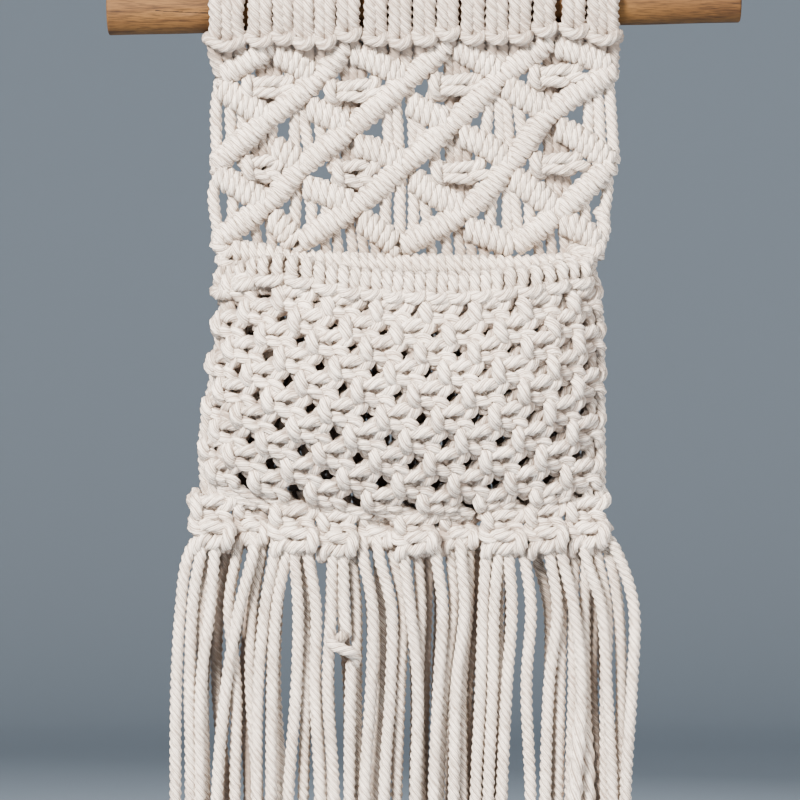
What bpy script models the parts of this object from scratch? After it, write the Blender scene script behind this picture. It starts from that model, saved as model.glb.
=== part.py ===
"""Macrame wall hanging: a web of cotton cord knotted on a wooden rod, with a pocket and a long fringe.

The frame: the origin is the middle of the rod's axis, +X runs to the viewer's right, -Y faces the
viewer and +Z is up. The tables and sizes below are real sizes in millimetres.
"""

import math

import bmesh
import bpy
from mathutils import Matrix, Vector

MM = 0.001

# The cord and the rod.
CORD = 4.8  # three-ply cotton cord, as thick as it hangs in the fringe
FIT = 0.35  # clearance between one piece and the next
ROD_LENGTH = 265.0
ROD_RADIUS = 10.0
ROD_EDGE = 0.8  # bevel on the sawn ends
ROD_TILT = math.radians(1.17)  # the right end hangs higher

# Depths, measured from the rod's axis towards the viewer (-Y).
WEB_DEPTH = 5.0
BAR_RADIUS = 4.5  # a carrier cord with hitches round it
BAR_VALLEY = 3.7  # the same bar between two hitches
BAR_RIDGES = 20  # along the bar that ends the diamonds

# The row of lark's head knots on the rod: middle of each, strands over the rod, and how far its
# bar hangs below the rod.
HEADING = (
    # x, strands, drop
    (-82.1, 3, 5.5),
    (-68.2, 2, 4.5),
    (-58.5, 2, 3.8),
    (-49.6, 2, 5.6),
    (-40.6, 2, 5.6),
    (-31.2, 2, 3.2),
    (-20.6, 2, 5.2),
    (-10.0, 2, 6.2),
    (0.2, 2, 5.6),
    (10.1, 2, 3.5),
    (20.5, 2, 5.4),
    (30.4, 2, 5.4),
    (40.2, 2, 5.6),
    (50.6, 2, 2.4),
    (62.0, 2, 3.2),
    (74.6, 3, 6.0),
)
STRAND_PITCH = 4.9
SLEEVE_SIDES = 10
LOOP_RADIUS = ROD_RADIUS + FIT + CORD - 0.3
LOOP_VALLEY = LOOP_RADIUS - 1.8
LOOP_WEB = ROD_RADIUS + FIT + 1.2
LOOP_SLACK = 1.6  # the loops hang this much off the rod's underside, where their bars lie
SLACK_CORNER = 7  # the corner of the sleeve that points down to the bars
HEAD_BAR_DEPTH = 8.3
HEAD_BAR_RADII = (1.6, 2.5, 2.5, 1.6)
WEB_CLEARANCE = 1.4  # between the loops on the rod and the cords of the web

# The crossings of the diamond lattice: rows of crossings from the rod down to the pocket, each
# with its height at the middle and the places of its crossings. Every second row has five.
LATTICE = (
    # z, x of the crossings
    (-19.6, (-62.9, -32.1, 10.8, 53.8)),
    (-30.2, (-85.2, -44.6, -6.7, 32.9, 78.6)),
    (-48.0, (-65.0, -30.0, 12.5, 53.3)),
    (-66.9, (-87.0, -50.4, -7.9, 36.3, 78.4)),
    (-84.8, (-65.4, -28.3, 17.9, 56.7)),
    (-100.2, (-86.0, -52.9, -10.0, 37.9, 73.3)),
)
PAIR_RADIUS = 3.4  # two cords side by side
KNOTTED_SHARES = (0.5,)  # where the cords of a knotted diamond leave its sides
PLAIN_SHARES = (0.25, 0.62)  # and those of a plain one
LAST_SHARES = (0.22, 0.62)  # and those that go down to the bar behind the pocket
KNOT_HALF_WIDTH = 10.2  # the square knot in the middle of a diamond
KNOT_HALF_HEIGHT = 5.6
KNOT_RISE = 1.2  # its right end sits this much higher than its middle
KNOT_OUTLINE = ((-1.0, 0.4), (-0.55, 1.0), (0.0, 0.94), (0.55, 0.92), (1.0, 0.4))
TILT_FADES = 60.0  # below this the web hangs level
HITCHES = 2  # ridges along one side of a diamond

# The knotted bar across the web behind the pocket's mouth, and the pocket itself in sections from
# its rim down: both side edges, their heights and depth, and how far the front stands out.
BACK_BAR_DEPTH = 4.3
BACK_BAR = ((-80.0, -103.6), (-42.0, -107.4), (-4.0, -109.2), (34.0, -108.2), (70.0, -104.2))
POCKET = (
    # left x, right x, left z, right z, edge depth, bulge
    (-85.0, 71.5, -119.4, -116.8, 7.6, 19.0),
    (-88.0, 74.0, -136.0, -134.0, 7.6, 23.0),
    (-88.8, 74.2, -152.5, -151.0, 7.6, 24.0),
    (-89.6, 74.5, -169.0, -168.5, 7.6, 21.0),
    (-91.4, 75.0, -185.5, -186.0, 7.6, 13.0),
    (-93.5, 76.0, -202.0, -203.0, 7.0, 3.5),
)
EVEN_SPACING = 0.065  # keeps the knots of a row evenly spaced along its curve
POCKET_SAG = 8.0  # a row of knots hangs this much lower in the middle
RIM_KNOTS = 16
RIM_DEPTH = 4.6  # half the depth and half the height of the lark's head knots along the rim
RIM_HEIGHT = 6.6
RIM_INSET = 0.012
NET_THICKNESS = 4.4
KNOT_RAISED = 3.4
KNOT_PEAKS = (
    # across, down, share of the height
    (-0.42, 0.26, 1.0),
    (0.42, 0.26, 0.8),
    (0.42, -0.26, 0.8),
    (-0.42, -0.26, 1.0),
)
KNOT_COLUMNS = 16  # half the pitch of the knots each
KNOT_ROWS = 9
GAP_WIDTH = 4.4
GAP_HEIGHT = 4.2
FIRST_OPEN_ROW = 2

# The cords that hang straight down behind the pocket, side by side.
BACK_RIBS = 16  # two cords each
BACK_DEPTH = 2.5
BACK_TOP = (-82.0, 71.0)  # left x, right x
BACK_BOTTOM = (-93.0, 75.5)
BACK_FOOT = -202.0

# The columns of square knots that close the pocket: middle, half width, top, bottom and depth.
CLOSING = (
    # x, half width, top z, bottom z, depth
    (-88.0, 9.8, -205.5, -227.5, 8.5),
    (-71.9, 9.2, -207.0, -226.0, 5.5),
    (-54.0, 10.6, -209.5, -229.0, 10.0),
    (-36.0, 9.6, -212.0, -230.5, 9.0),
    (-19.8, 9.4, -213.0, -226.5, 5.5),
    (-3.3, 9.6, -213.5, -229.5, 9.5),
    (14.8, 10.0, -213.0, -227.5, 6.0),
    (33.3, 10.2, -211.5, -229.5, 10.0),
    (50.9, 9.6, -209.0, -229.0, 9.5),
    (68.0, 9.8, -206.1, -228.0, 7.5),
)
CLOSING_HALF_DEPTH = 5.6
CLOSING_OUTLINE = ((0.0, 0.62), (0.22, 1.0), (0.5, 0.86), (0.78, 1.0), (1.0, 0.6))  # two knots
SEAM_RADIUS = 3.4  # the cords that cross from column to column and close the pocket

# The fringe. Each row is one strand that shows, from left to right: the layer it hangs in, counted
# from the front, the number of cords there, as a second one hangs unseen in the last layer, and
# its x where it leaves the knots, where it bends down, at mid height and below that.
FRINGE_ROOT = (-219.0, 7.5)  # z and depth where a strand starts, inside a column of knots
FRINGE_LEVELS = (-230.0, -253.0, -286.0, -330.0)
FRINGE_END = -430.0
FRINGE_UNEVEN = 3.0  # the cut ends lie this much higher or lower
FRINGE_DRIFT = 0.4  # how far a strand keeps its last slant down to its end
FRINGE_DEPTHS = (11.5, 6.6, 1.7, -3.2)
FRINGE = (
    # layer, cords, x at each level
    (0, 1, -98.0, -101.6, -103.1, -102.9),
    (0, 2, -93.0, -96.0, -98.0, -97.9),
    (1, 1, -89.3, -92.9, -92.6, -91.2),
    (0, 2, -87.2, -89.6, -92.6, -93.0),
    (2, 1, -82.7, -85.2, -86.3, -82.4),
    (1, 1, -78.2, -80.8, -78.7, -78.2),
    (0, 2, -71.3, -76.8, -82.4, -85.8),
    (2, 1, -69.2, -73.2, -75.1, -73.7),
    (1, 1, -67.9, -70.9, -71.7, -69.2),
    (0, 2, -62.4, -67.0, -69.6, -69.9),
    (0, 2, -57.4, -62.0, -63.5, -63.8),
    (2, 1, -59.2, -60.6, -61.5, -58.9),
    (0, 1, -54.0, -53.1, -53.2, -56.1),
    (1, 1, -50.2, -49.2, -48.7, -50.6),
    (0, 2, -48.2, -45.5, -45.1, -42.6),
    (0, 2, -38.1, -39.0, -39.7, -37.8),
    (0, 2, -33.7, -34.1, -32.4, -31.4),
    (1, 1, -29.9, -28.1, -27.8, -28.5),
    (0, 2, -25.4, -22.0, -22.3, -24.7),
    (2, 1, -19.1, -17.4, -17.6, -20.5),
    (0, 2, -18.8, -13.9, -13.3, -16.5),
    (1, 1, -12.9, -9.4, -9.2, -11.5),
    (0, 2, -8.4, -6.0, -3.0, -3.3),
    (1, 1, -2.4, -1.9, -2.7, -1.5),
    (2, 1, 1.9, 2.1, 0.9, -0.1),
    (0, 2, 5.0, 7.0, 5.2, 4.7),
    (1, 1, 11.3, 11.8, 8.3, 6.1),
    (0, 2, 15.4, 17.3, 13.1, 11.8),
    (1, 1, 18.9, 18.2, 16.6, 16.4),
    (2, 1, 21.3, 21.3, 19.2, 17.5),
    (0, 2, 25.8, 24.4, 23.0, 20.8),
    (1, 1, 26.7, 25.2, 25.1, 24.2),
    (0, 1, 30.8, 29.6, 28.5, 26.7),
    (2, 1, 31.6, 31.9, 31.2, 32.3),
    (0, 2, 35.2, 37.0, 34.5, 31.6),
    (0, 1, 41.8, 43.8, 43.4, 44.5),
    (2, 1, 47.0, 52.0, 52.0, 52.0),
    (0, 1, 52.4, 55.3, 52.6, 49.9),
    (1, 1, 57.8, 57.4, 56.8, 56.0),
    (0, 2, 57.4, 62.6, 66.0, 63.5),
    (1, 1, 63.0, 62.6, 61.9, 61.4),
    (1, 1, 68.0, 67.7, 68.0, 68.5),
    (2, 1, 69.3, 70.5, 70.9, 72.8),
    (0, 2, 67.1, 73.9, 75.5, 78.4),
    (1, 1, 72.3, 76.6, 76.6, 76.0),
    (1, 1, 77.4, 82.0, 81.8, 81.2),
    (0, 1, 80.7, 86.7, 85.9, 84.3),
)


def clear_scene():
    for old in list(bpy.data.objects):
        bpy.data.objects.remove(old)


def finish_material(name, colour, roughness):
    """A Principled material of one base colour."""
    made = bpy.data.materials.new(name)
    made.use_nodes = True
    shader = made.node_tree.nodes["Principled BSDF"]
    shader.inputs["Base Color"].default_value = (*colour, 1.0)
    shader.inputs["Roughness"].default_value = roughness
    shader.inputs["Metallic"].default_value = 0.0
    return made


def point(x, depth, z):
    """A point in metres from millimetres, with the depth counted towards the viewer."""
    return Vector((x, -depth, z)) * MM


def new_object(name, mesh_data, material):
    """Links a bmesh as an object with closed, outward faces and one material."""
    bmesh.ops.recalc_face_normals(mesh_data, faces=mesh_data.faces)
    mesh = bpy.data.meshes.new(name)
    mesh_data.to_mesh(mesh)
    mesh_data.free()
    mesh.materials.append(material)
    made = bpy.data.objects.new(name, mesh)
    bpy.context.scene.collection.objects.link(made)
    return made


def fuse(name, first, second, material):
    """One solid of two bmeshes whose shapes overlap, themselves and each other."""
    made = new_object(name, first, material)
    other = new_object(name + "_fused_part", second, material)
    other.hide_render = True
    other.display_type = "WIRE"
    union = made.modifiers.new("Fused", "BOOLEAN")
    union.operation = "UNION"
    union.solver = "EXACT"
    union.use_self = True
    union.object = other
    return made


def add_loft(mesh_data, rings):
    """A closed solid through rings of points, each with the same number of points."""
    made = [[mesh_data.verts.new(p) for p in ring] for ring in rings]
    count = len(made[0])
    for lower, upper in zip(made, made[1:]):
        for i in range(count):
            after = (i + 1) % count
            mesh_data.faces.new((lower[i], lower[after], upper[after], upper[i]))
    mesh_data.faces.new(made[0][::-1])
    mesh_data.faces.new(made[-1])


def add_tube(mesh_data, path, radii, sides, across=Vector((0, 1, 0)), flatten=1.0, turn=0.5):
    """A loft round a path. A ring lies across the path, its second axis as near as can be to
    across, along which it is flattened; turn rotates it by so many parts of one side."""
    rings = []
    for i, centre in enumerate(path):
        along = (path[min(i + 1, len(path) - 1)] - path[max(i - 1, 0)]).normalized()
        side = along.cross(across).normalized()
        depth = side.cross(along).normalized()
        ring = []
        for k in range(sides):
            angle = 2 * math.pi * (k + turn) / sides
            ring.append(centre + (math.cos(angle) * side + math.sin(angle) * flatten * depth) * radii[i] * MM)
        rings.append(ring)
    add_loft(mesh_data, rings)


def lean(x, z):
    """Height that the rod's tilt adds at x, fading out down the web."""
    share = max(0.0, 1.0 + z / TILT_FADES)
    return x * math.tan(ROD_TILT) * share


# The rod.


def make_rod(wood):
    """A straight round stick, sawn square at both ends."""
    mesh_data = bmesh.new()
    bmesh.ops.create_cone(
        mesh_data,
        cap_ends=True,
        segments=24,
        radius1=ROD_RADIUS * MM,
        radius2=ROD_RADIUS * MM,
        depth=ROD_LENGTH * MM,
    )
    rod = new_object("rod", mesh_data, wood)
    rod.rotation_euler = (0, math.pi / 2 - ROD_TILT, 0)
    bevel = rod.modifiers.new("Worn edge", "BEVEL")
    bevel.width = ROD_EDGE * MM
    bevel.segments = 1
    bevel.limit_method = "ANGLE"
    bevel.angle_limit = math.radians(40)
    return rod


# The lark's head knots round the rod.


def heading_strands():
    """Places along the rod of every strand that lies over it."""
    places = []
    for x, strands, _ in HEADING:
        for i in range(strands):
            places.append(x + (i - (strands - 1) / 2) * STRAND_PITCH)
    return places


def make_heading(cotton):
    """A ridged sleeve round the rod, one ridge a strand, with the bar of each knot below it."""
    strands = heading_strands()
    stations = [(strands[0] - CORD / 2, LOOP_WEB)]
    for i, x in enumerate(strands):
        stations.append((x, LOOP_RADIUS))
        if i + 1 < len(strands):
            spacing = strands[i + 1] - x
            valley = LOOP_VALLEY if spacing < STRAND_PITCH * 1.2 else LOOP_WEB
            stations.append((x + spacing / 2, valley))
    stations.append((strands[-1] + CORD / 2, LOOP_WEB))

    tilt = Matrix.Rotation(-ROD_TILT, 4, "Y")
    sleeve = bmesh.new()

    def ring(x, radius, slack=LOOP_SLACK):
        made = []
        for k in range(SLEEVE_SIDES):
            angle = 2 * math.pi * k / SLEEVE_SIDES
            reach = radius + (slack if k == SLACK_CORNER else 0.0)
            flat = Vector((x, reach * math.cos(angle), reach * math.sin(angle)))
            made.append(sleeve.verts.new(tilt @ (flat * MM)))
        return made

    bore = (ROD_RADIUS + FIT) / math.cos(math.pi / SLEEVE_SIDES)  # its flats clear the rod
    rings = [ring(x, radius) for x, radius in stations]
    rings.append(ring(stations[-1][0], bore, 0.0))
    rings.append(ring(stations[0][0], bore, 0.0))
    for lower, upper in zip(rings, rings[1:] + rings[:1]):
        for k in range(SLEEVE_SIDES):
            after = (k + 1) % SLEEVE_SIDES
            sleeve.faces.new((lower[k], lower[after], upper[after], upper[k]))

    bars = bmesh.new()
    for x, strands_here, drop in HEADING:
        half = strands_here * STRAND_PITCH / 2
        z = -ROD_RADIUS - drop + x * math.tan(ROD_TILT)
        rise = 2.6 + 0.2 * drop  # the ends of the bar turn up to the rod
        path = [
            point(x - half, HEAD_BAR_DEPTH, z + rise),
            point(x - half * 0.45, HEAD_BAR_DEPTH + 1.0, z),
            point(x + half * 0.45, HEAD_BAR_DEPTH + 1.0, z),
            point(x + half, HEAD_BAR_DEPTH, z + rise),
        ]
        add_tube(bars, path, HEAD_BAR_RADII, 5, Vector((0, 1, 0.3)))
    return fuse("heading", sleeve, bars, cotton)


# The diamond web.


def crossing(row, i):
    """Place of one crossing of the lattice."""
    z, places = LATTICE[row]
    x = places[i]
    return point(x, WEB_DEPTH, z + lean(x, z))


def neighbour(row, i, step):
    """Index in the next row down of the crossing to the left (step 0) or right (step 1)."""
    found = i + step if row % 2 == 0 else i + step - 1
    if row + 1 < len(LATTICE) and 0 <= found < len(LATTICE[row + 1][1]):
        return found
    return None


def lattice_lines(step):
    """The chains of crossings that run down to the left (step 0) or to the right (step 1)."""
    used = set()
    lines = []
    for row in range(len(LATTICE)):
        for i in range(len(LATTICE[row][1])):
            if (row, i) in used:
                continue
            chain = [(row, i)]
            while True:
                last_row, last = chain[-1]
                below = neighbour(last_row, last, step)
                if below is None:
                    break
                chain.append((last_row + 1, below))
                used.add(chain[-1])
            if len(chain) > 1:
                lines.append(chain)
    return lines


def bar_path(chain):
    """Stations of a ridged bar along a chain of crossings: centres and radii."""
    path, radii = [], []
    per_side = 2 * HITCHES
    for (row_a, a), (row_b, b) in zip(chain, chain[1:]):
        start, end = crossing(row_a, a), crossing(row_b, b)
        for k in range(per_side):
            path.append(start.lerp(end, k / per_side))
            radii.append(BAR_VALLEY if k % 2 == 0 else BAR_RADIUS)
    path.append(crossing(*chain[-1]))
    radii.append(BAR_VALLEY)
    return path, radii


def add_strand(mesh_data, top, bottom, radius=CORD / 2):
    """A straight hanging cord of three sides between two buried ends."""
    add_tube(mesh_data, (top, bottom), (radius, radius), 3, turn=0.25)


def add_diamond_cords(mesh_data, row, i, shares, knotted):
    """The cords inside the diamond whose top is this crossing: they hang plain, or meet in a
    square knot at its middle."""
    top = crossing(row, i)
    left_i, right_i = neighbour(row, i, 0), neighbour(row, i, 1)
    bottom_i = None
    if left_i is not None:
        bottom_i = neighbour(row + 1, left_i, 1)
    elif right_i is not None:
        bottom_i = neighbour(row + 1, right_i, 0)
    bottom = None if bottom_i is None else crossing(row + 2, bottom_i)
    behind = Vector((0, 1.0 * MM, 0))
    for side_i in (left_i, right_i):
        if side_i is None or bottom is None:
            continue
        side = crossing(row + 1, side_i)
        for share in shares:
            above = top.lerp(side, share) + behind
            below = bottom.lerp(side, share) + behind
            if knotted:
                middle = (top + bottom) / 2 + Vector(((side.x - top.x) * 0.28, 0, 0))
                add_strand(mesh_data, above, middle)
                add_strand(mesh_data, middle, below)
            else:
                add_strand(mesh_data, above, below)
    if knotted and bottom is not None:
        add_square_knot(mesh_data, (top + bottom) / 2)


def add_square_knot(mesh_data, centre):
    """A square knot of six cords: a lump that rises to the right, with an upright loop at its left."""
    path, radii = [], []
    for share, size in KNOT_OUTLINE:
        path.append(centre + point(share * KNOT_HALF_WIDTH, 0.8, share * KNOT_RISE))
        radii.append(KNOT_HALF_HEIGHT * size)
    add_tube(mesh_data, path, radii, 6, flatten=0.78)
    loop_x = -KNOT_HALF_WIDTH * 0.68
    path = [centre + point(loop_x, depth, z) for depth, z in ((1.2, 5.4), (4.0, 0.0), (1.2, -5.4))]
    add_tube(mesh_data, path, (1.6, 2.5, 1.6), 4, Vector((1, 0, 0)))


def make_web(cotton):
    """The open lattice of knotted bars, with the cords and square knots in its diamonds."""
    bars = bmesh.new()
    for chain in lattice_lines(0):
        path, radii = bar_path(chain)
        add_tube(bars, path, radii, 6)

    rest = bmesh.new()
    for chain in lattice_lines(1):
        path, radii = bar_path(chain)
        add_tube(rest, [p + Vector((0, 0.6 * MM, 0)) for p in path], radii, 6)
    for row in range(len(LATTICE) - 2):
        for i in range(len(LATTICE[row][1])):
            knotted = row % 2 == 0
            shares = KNOTTED_SHARES if knotted else PLAIN_SHARES
            add_diamond_cords(rest, row, i, shares, knotted)
    add_cords_below_rod(rest)
    add_cords_above_bar(rest)
    add_back_bar(rest)
    return fuse("web", bars, rest, cotton)


def add_cords_below_rod(mesh_data):
    """The pair of cords that comes down from each lark's head knot to the first bars."""
    first = [crossing(0, i) for i in range(len(LATTICE[0][1]))]
    second = [crossing(1, i) for i in range(len(LATTICE[1][1]))]
    outline = sorted(first + second, key=lambda p: p.x)
    for x, _, drop in HEADING:
        x = min(max(x, outline[0].x / MM + 1.0), outline[-1].x / MM - 1.0)
        for a, b in zip(outline, outline[1:]):
            if a.x <= x * MM <= b.x:
                on_bar = a.lerp(b, (x * MM - a.x) / (b.x - a.x))
        under_head = ROD_RADIUS + drop + CORD / 2
        top_z = x * math.tan(ROD_TILT) - max(under_head, LOOP_RADIUS) - WEB_CLEARANCE
        top = point(x, WEB_DEPTH, top_z)
        if top.z > on_bar.z + 1.0 * MM:
            add_tube(mesh_data, (top, on_bar), (PAIR_RADIUS, PAIR_RADIUS), 4, flatten=0.66)


def bar_height(x):
    """Height of the knotted bar behind the pocket at x, read along its table."""
    for (x0, z0), (x1, z1) in zip(BACK_BAR, BACK_BAR[1:]):
        if x <= x1:
            return z0 + (z1 - z0) * max(0.0, (x - x0) / (x1 - x0))
    return BACK_BAR[-1][1]


def add_back_bar(mesh_data):
    """The level bar of hitches that ends the diamonds, behind the pocket's mouth."""
    path, radii = [], []
    first, last = BACK_BAR[0][0], BACK_BAR[-1][0]
    for k in range(2 * BAR_RIDGES + 1):
        x = first + (last - first) * k / (2 * BAR_RIDGES)
        path.append(point(x, BACK_BAR_DEPTH, bar_height(x)))
        radii.append(BAR_VALLEY if k % 2 == 0 else BAR_RADIUS)
    add_tube(mesh_data, path, radii, 6)


def add_cords_above_bar(mesh_data):
    """The cords that run from the lowest diamonds down to the bar behind the pocket's mouth."""
    row = len(LATTICE) - 2
    for i in range(len(LATTICE[row][1])):
        top = crossing(row, i)
        for side_i in (neighbour(row, i, 0), neighbour(row, i, 1)):
            side = crossing(row + 1, side_i)
            for share in LAST_SHARES:
                above = top.lerp(side, share)
                x = above.x / MM
                below = point(x, BACK_BAR_DEPTH, bar_height(x))
                if above.z > below.z + BAR_RADIUS * MM:
                    add_strand(mesh_data, above, below)


# The cords behind the pocket.


def make_back_cords(cotton):
    """The cords of the web, hanging side by side behind the pocket as one ribbed sheet."""
    mesh_data = bmesh.new()
    corners = []
    for k in range(2 * BACK_RIBS + 1):
        across = k / BACK_RIBS - 1
        top_x, foot_x = (
            (left + right) / 2 + across * (right - left) / 2 for left, right in (BACK_TOP, BACK_BOTTOM)
        )
        top_z = bar_height(top_x) - BAR_RADIUS - FIT - 0.4
        foot_z = BACK_FOOT - POCKET_SAG * (1 - across**2)
        half = CORD / 2 if k % 2 else CORD / 4
        corners.append([
            mesh_data.verts.new(point(x, BACK_DEPTH + depth, z))
            for x, depth, z in (
                (top_x, half, top_z),
                (foot_x, half, foot_z),
                (foot_x, -half, foot_z),
                (top_x, -half, top_z),
            )
        ])
    for one, following in zip(corners, corners[1:]):
        for k in range(4):
            mesh_data.faces.new((one[k - 1], one[k], following[k], following[k - 1]))
    mesh_data.faces.new(corners[0])
    mesh_data.faces.new(corners[-1][::-1])
    return new_object("back_cords", mesh_data, cotton)


# The pocket's front.


def pocket_section(v):
    """The pocket's table read at v, from 0 at the rim to 1 at its foot."""
    place = v * (len(POCKET) - 1)
    k = min(int(place), len(POCKET) - 2)
    share = place - k
    return [a + (b - a) * share for a, b in zip(POCKET[k], POCKET[k + 1])]


def pocket_point(u, v, out=0.0):
    """A point of the pocket's front, moved outwards by so many millimetres. u runs along a row
    from left to right, v from the rim down. A row is flat in the middle and turns back at both
    sides: its depth falls with the fourth power of the way out."""
    left, right, z_left, z_right, edge, bulge = pocket_section(v)
    half = (right - left) / 2
    steep = 4 * bulge / half
    way = 2 * u - 1
    across = way * (1 + EVEN_SPACING * steep**2 * (1 - abs(way) ** 3.2))
    slope = steep * abs(across) ** 3 * math.copysign(1, across)
    length = math.hypot(slope, 1)
    x = (left + right) / 2 + half * across + out * slope / length
    depth = edge + bulge * (1 - across**4) + out / length
    z = z_left + (z_right - z_left) * u - POCKET_SAG * (1 - way**2)
    return point(x, depth, z)


def make_pocket(cotton):
    """The net of square knots: a bowed sheet with its knots raised and its gaps cut through."""
    mesh_data = bmesh.new()
    back_of = {}

    def pair(u, v):
        """A vertex on the front face, with the one behind it on the back face."""
        front = mesh_data.verts.new(pocket_point(u, v, NET_THICKNESS / 2))
        back_of[front] = mesh_data.verts.new(pocket_point(u, v, -NET_THICKNESS / 2))
        return front

    reach_u = GAP_WIDTH / 2 / (POCKET[2][1] - POCKET[2][0])
    reach_v = GAP_HEIGHT / 2 / (POCKET[0][2] - POCKET[-1][2])
    gaps = {}
    for row in range(KNOT_ROWS + 1):
        for column in range(KNOT_COLUMNS + 1):
            if (column + row) % 2 == 0:
                continue
            u, v = column / KNOT_COLUMNS, row / KNOT_ROWS
            if 0 < column < KNOT_COLUMNS and FIRST_OPEN_ROW <= row < KNOT_ROWS:
                gaps[column, row] = {
                    "nw": pair(u - reach_u, v - reach_v),
                    "ne": pair(u + reach_u, v - reach_v),
                    "se": pair(u + reach_u, v + reach_v),
                    "sw": pair(u - reach_u, v + reach_v),
                }
            else:
                gaps[column, row] = dict.fromkeys(("nw", "ne", "se", "sw"), pair(u, v))

    for row in range(KNOT_ROWS + 1):
        for column in range(KNOT_COLUMNS + 1):
            if (column + row) % 2 == 0:
                add_knot_cell(mesh_data, gaps, back_of, column, row)

    for edge in list(mesh_data.edges):
        if len(edge.link_faces) == 1 and edge.verts[0] in back_of and edge.verts[1] in back_of:
            a, b = edge.verts
            mesh_data.faces.new((a, b, back_of[b], back_of[a]))
    return new_object("pocket", mesh_data, cotton)


def add_knot_cell(mesh_data, gaps, back_of, column, row):
    """One knot of the net, between the gaps at its left, foot, right and top. A knot inside the
    net stands up on four points, the left two highest; half a knot at the border is flat."""
    around = (
        (column - 1, row, ("ne", "se")),
        (column, row + 1, ("nw", "ne")),
        (column + 1, row, ("sw", "nw")),
        (column, row - 1, ("se", "sw")),
    )
    sides = []
    for c, r, names in around:
        if (c, r) in gaps:
            sides.append(list(dict.fromkeys(gaps[c, r][name] for name in names)))
    outline = [vertex for side in sides for vertex in side]
    if len(sides) < 4:
        if len(outline) > 2:
            mesh_data.faces.new(outline)
    else:
        peaks = []
        for across, down, high in KNOT_PEAKS:
            u, v = (column + across) / KNOT_COLUMNS, (row + down) / KNOT_ROWS
            out = NET_THICKNESS / 2 + KNOT_RAISED * high
            peaks.append(mesh_data.verts.new(pocket_point(u, v, out)))
        for k, side in enumerate(sides):
            mesh_data.faces.new([peaks[k - 1], *side, peaks[k]])
            mesh_data.faces.new((side[-1], sides[(k + 1) % 4][0], peaks[k]))
        mesh_data.faces.new(peaks)
    if len(outline) > 2:
        mesh_data.faces.new([back_of[vertex] for vertex in reversed(outline)])


def make_pocket_rim(cotton):
    """The rim: lark's head knots side by side on a cord, a ridge for each."""
    path, radii = [], []
    for k in range(2 * RIM_KNOTS + 1):
        u = RIM_INSET + (1 - 2 * RIM_INSET) * k / (2 * RIM_KNOTS)
        path.append(pocket_point(u, 0.0, NET_THICKNESS / 2) + point(0, 0, RIM_HEIGHT + FIT))
        radii.append(RIM_DEPTH - 1.0 if k % 2 == 0 else RIM_DEPTH)
    mesh_data = bmesh.new()
    add_tube(mesh_data, path, radii, 8, Vector((0, 0, 1)), RIM_HEIGHT / RIM_DEPTH)
    return new_object("pocket_rim", mesh_data, cotton)


# The knots that close the pocket, and the fringe below them.


def fringe_path(places, depth):
    """Stations of one strand, from inside the knots to its trimmed end."""
    root_z, root_depth = FRINGE_ROOT
    path = [point(places[0], root_depth, root_z)]
    path += [point(x, depth, z) for x, z in zip(places, FRINGE_LEVELS)]
    drift = (places[-1] - places[-2]) * FRINGE_DRIFT
    trim = FRINGE_UNEVEN * math.sin(places[0] * 1.7)
    path.append(point(places[-1] + drift, depth, FRINGE_END + trim))
    return path


def make_fringe(cotton):
    """The columns of knots that close the pocket's foot, with the strands hanging from them."""
    columns = bmesh.new()
    for x, half, top, bottom, depth in CLOSING:
        path, radii = [], []
        for share, size in CLOSING_OUTLINE:
            path.append(point(x, depth, top + (bottom - top) * share))
            radii.append(half * size)
        add_tube(columns, path, radii, 6, flatten=CLOSING_HALF_DEPTH / half, turn=0.0)

    strands = bmesh.new()
    seam = [point(x, FRINGE_ROOT[1], (top + bottom) / 2) for x, _, top, bottom, _ in CLOSING]
    add_tube(strands, seam, [SEAM_RADIUS] * len(seam), 6)
    for layer, cords, *places in FRINGE:
        depths = [FRINGE_DEPTHS[layer]] + [FRINGE_DEPTHS[-1]] * (cords - 1)
        for depth in depths:
            path = fringe_path(places, depth)
            sides = 4 if depth > FRINGE_ROOT[1] - CORD / 2 else 3
            add_tube(strands, path, [CORD / 2] * len(path), sides, turn=0.0 if sides == 4 else 0.25)
    return fuse("fringe", columns, strands, cotton)


def main():
    clear_scene()
    wood = finish_material("wood", (0.52, 0.33, 0.17), 0.55)
    cotton = finish_material("cotton", (0.84, 0.80, 0.75), 0.9)
    make_rod(wood)
    make_heading(cotton)
    make_web(cotton)
    make_back_cords(cotton)
    make_pocket_rim(cotton)
    make_pocket(cotton)
    make_fringe(cotton)


main()
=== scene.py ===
"""Macrame wall hanging: cotton cord knotted on a wooden rod, with a pocket and a long fringe.

Sizes are in millimetres until a mesh is made: x to the viewer's right, depth towards the viewer
and z up, from the middle of the rod's axis. One pixel of the photograph is 0.41667 mm.
"""

import math

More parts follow.
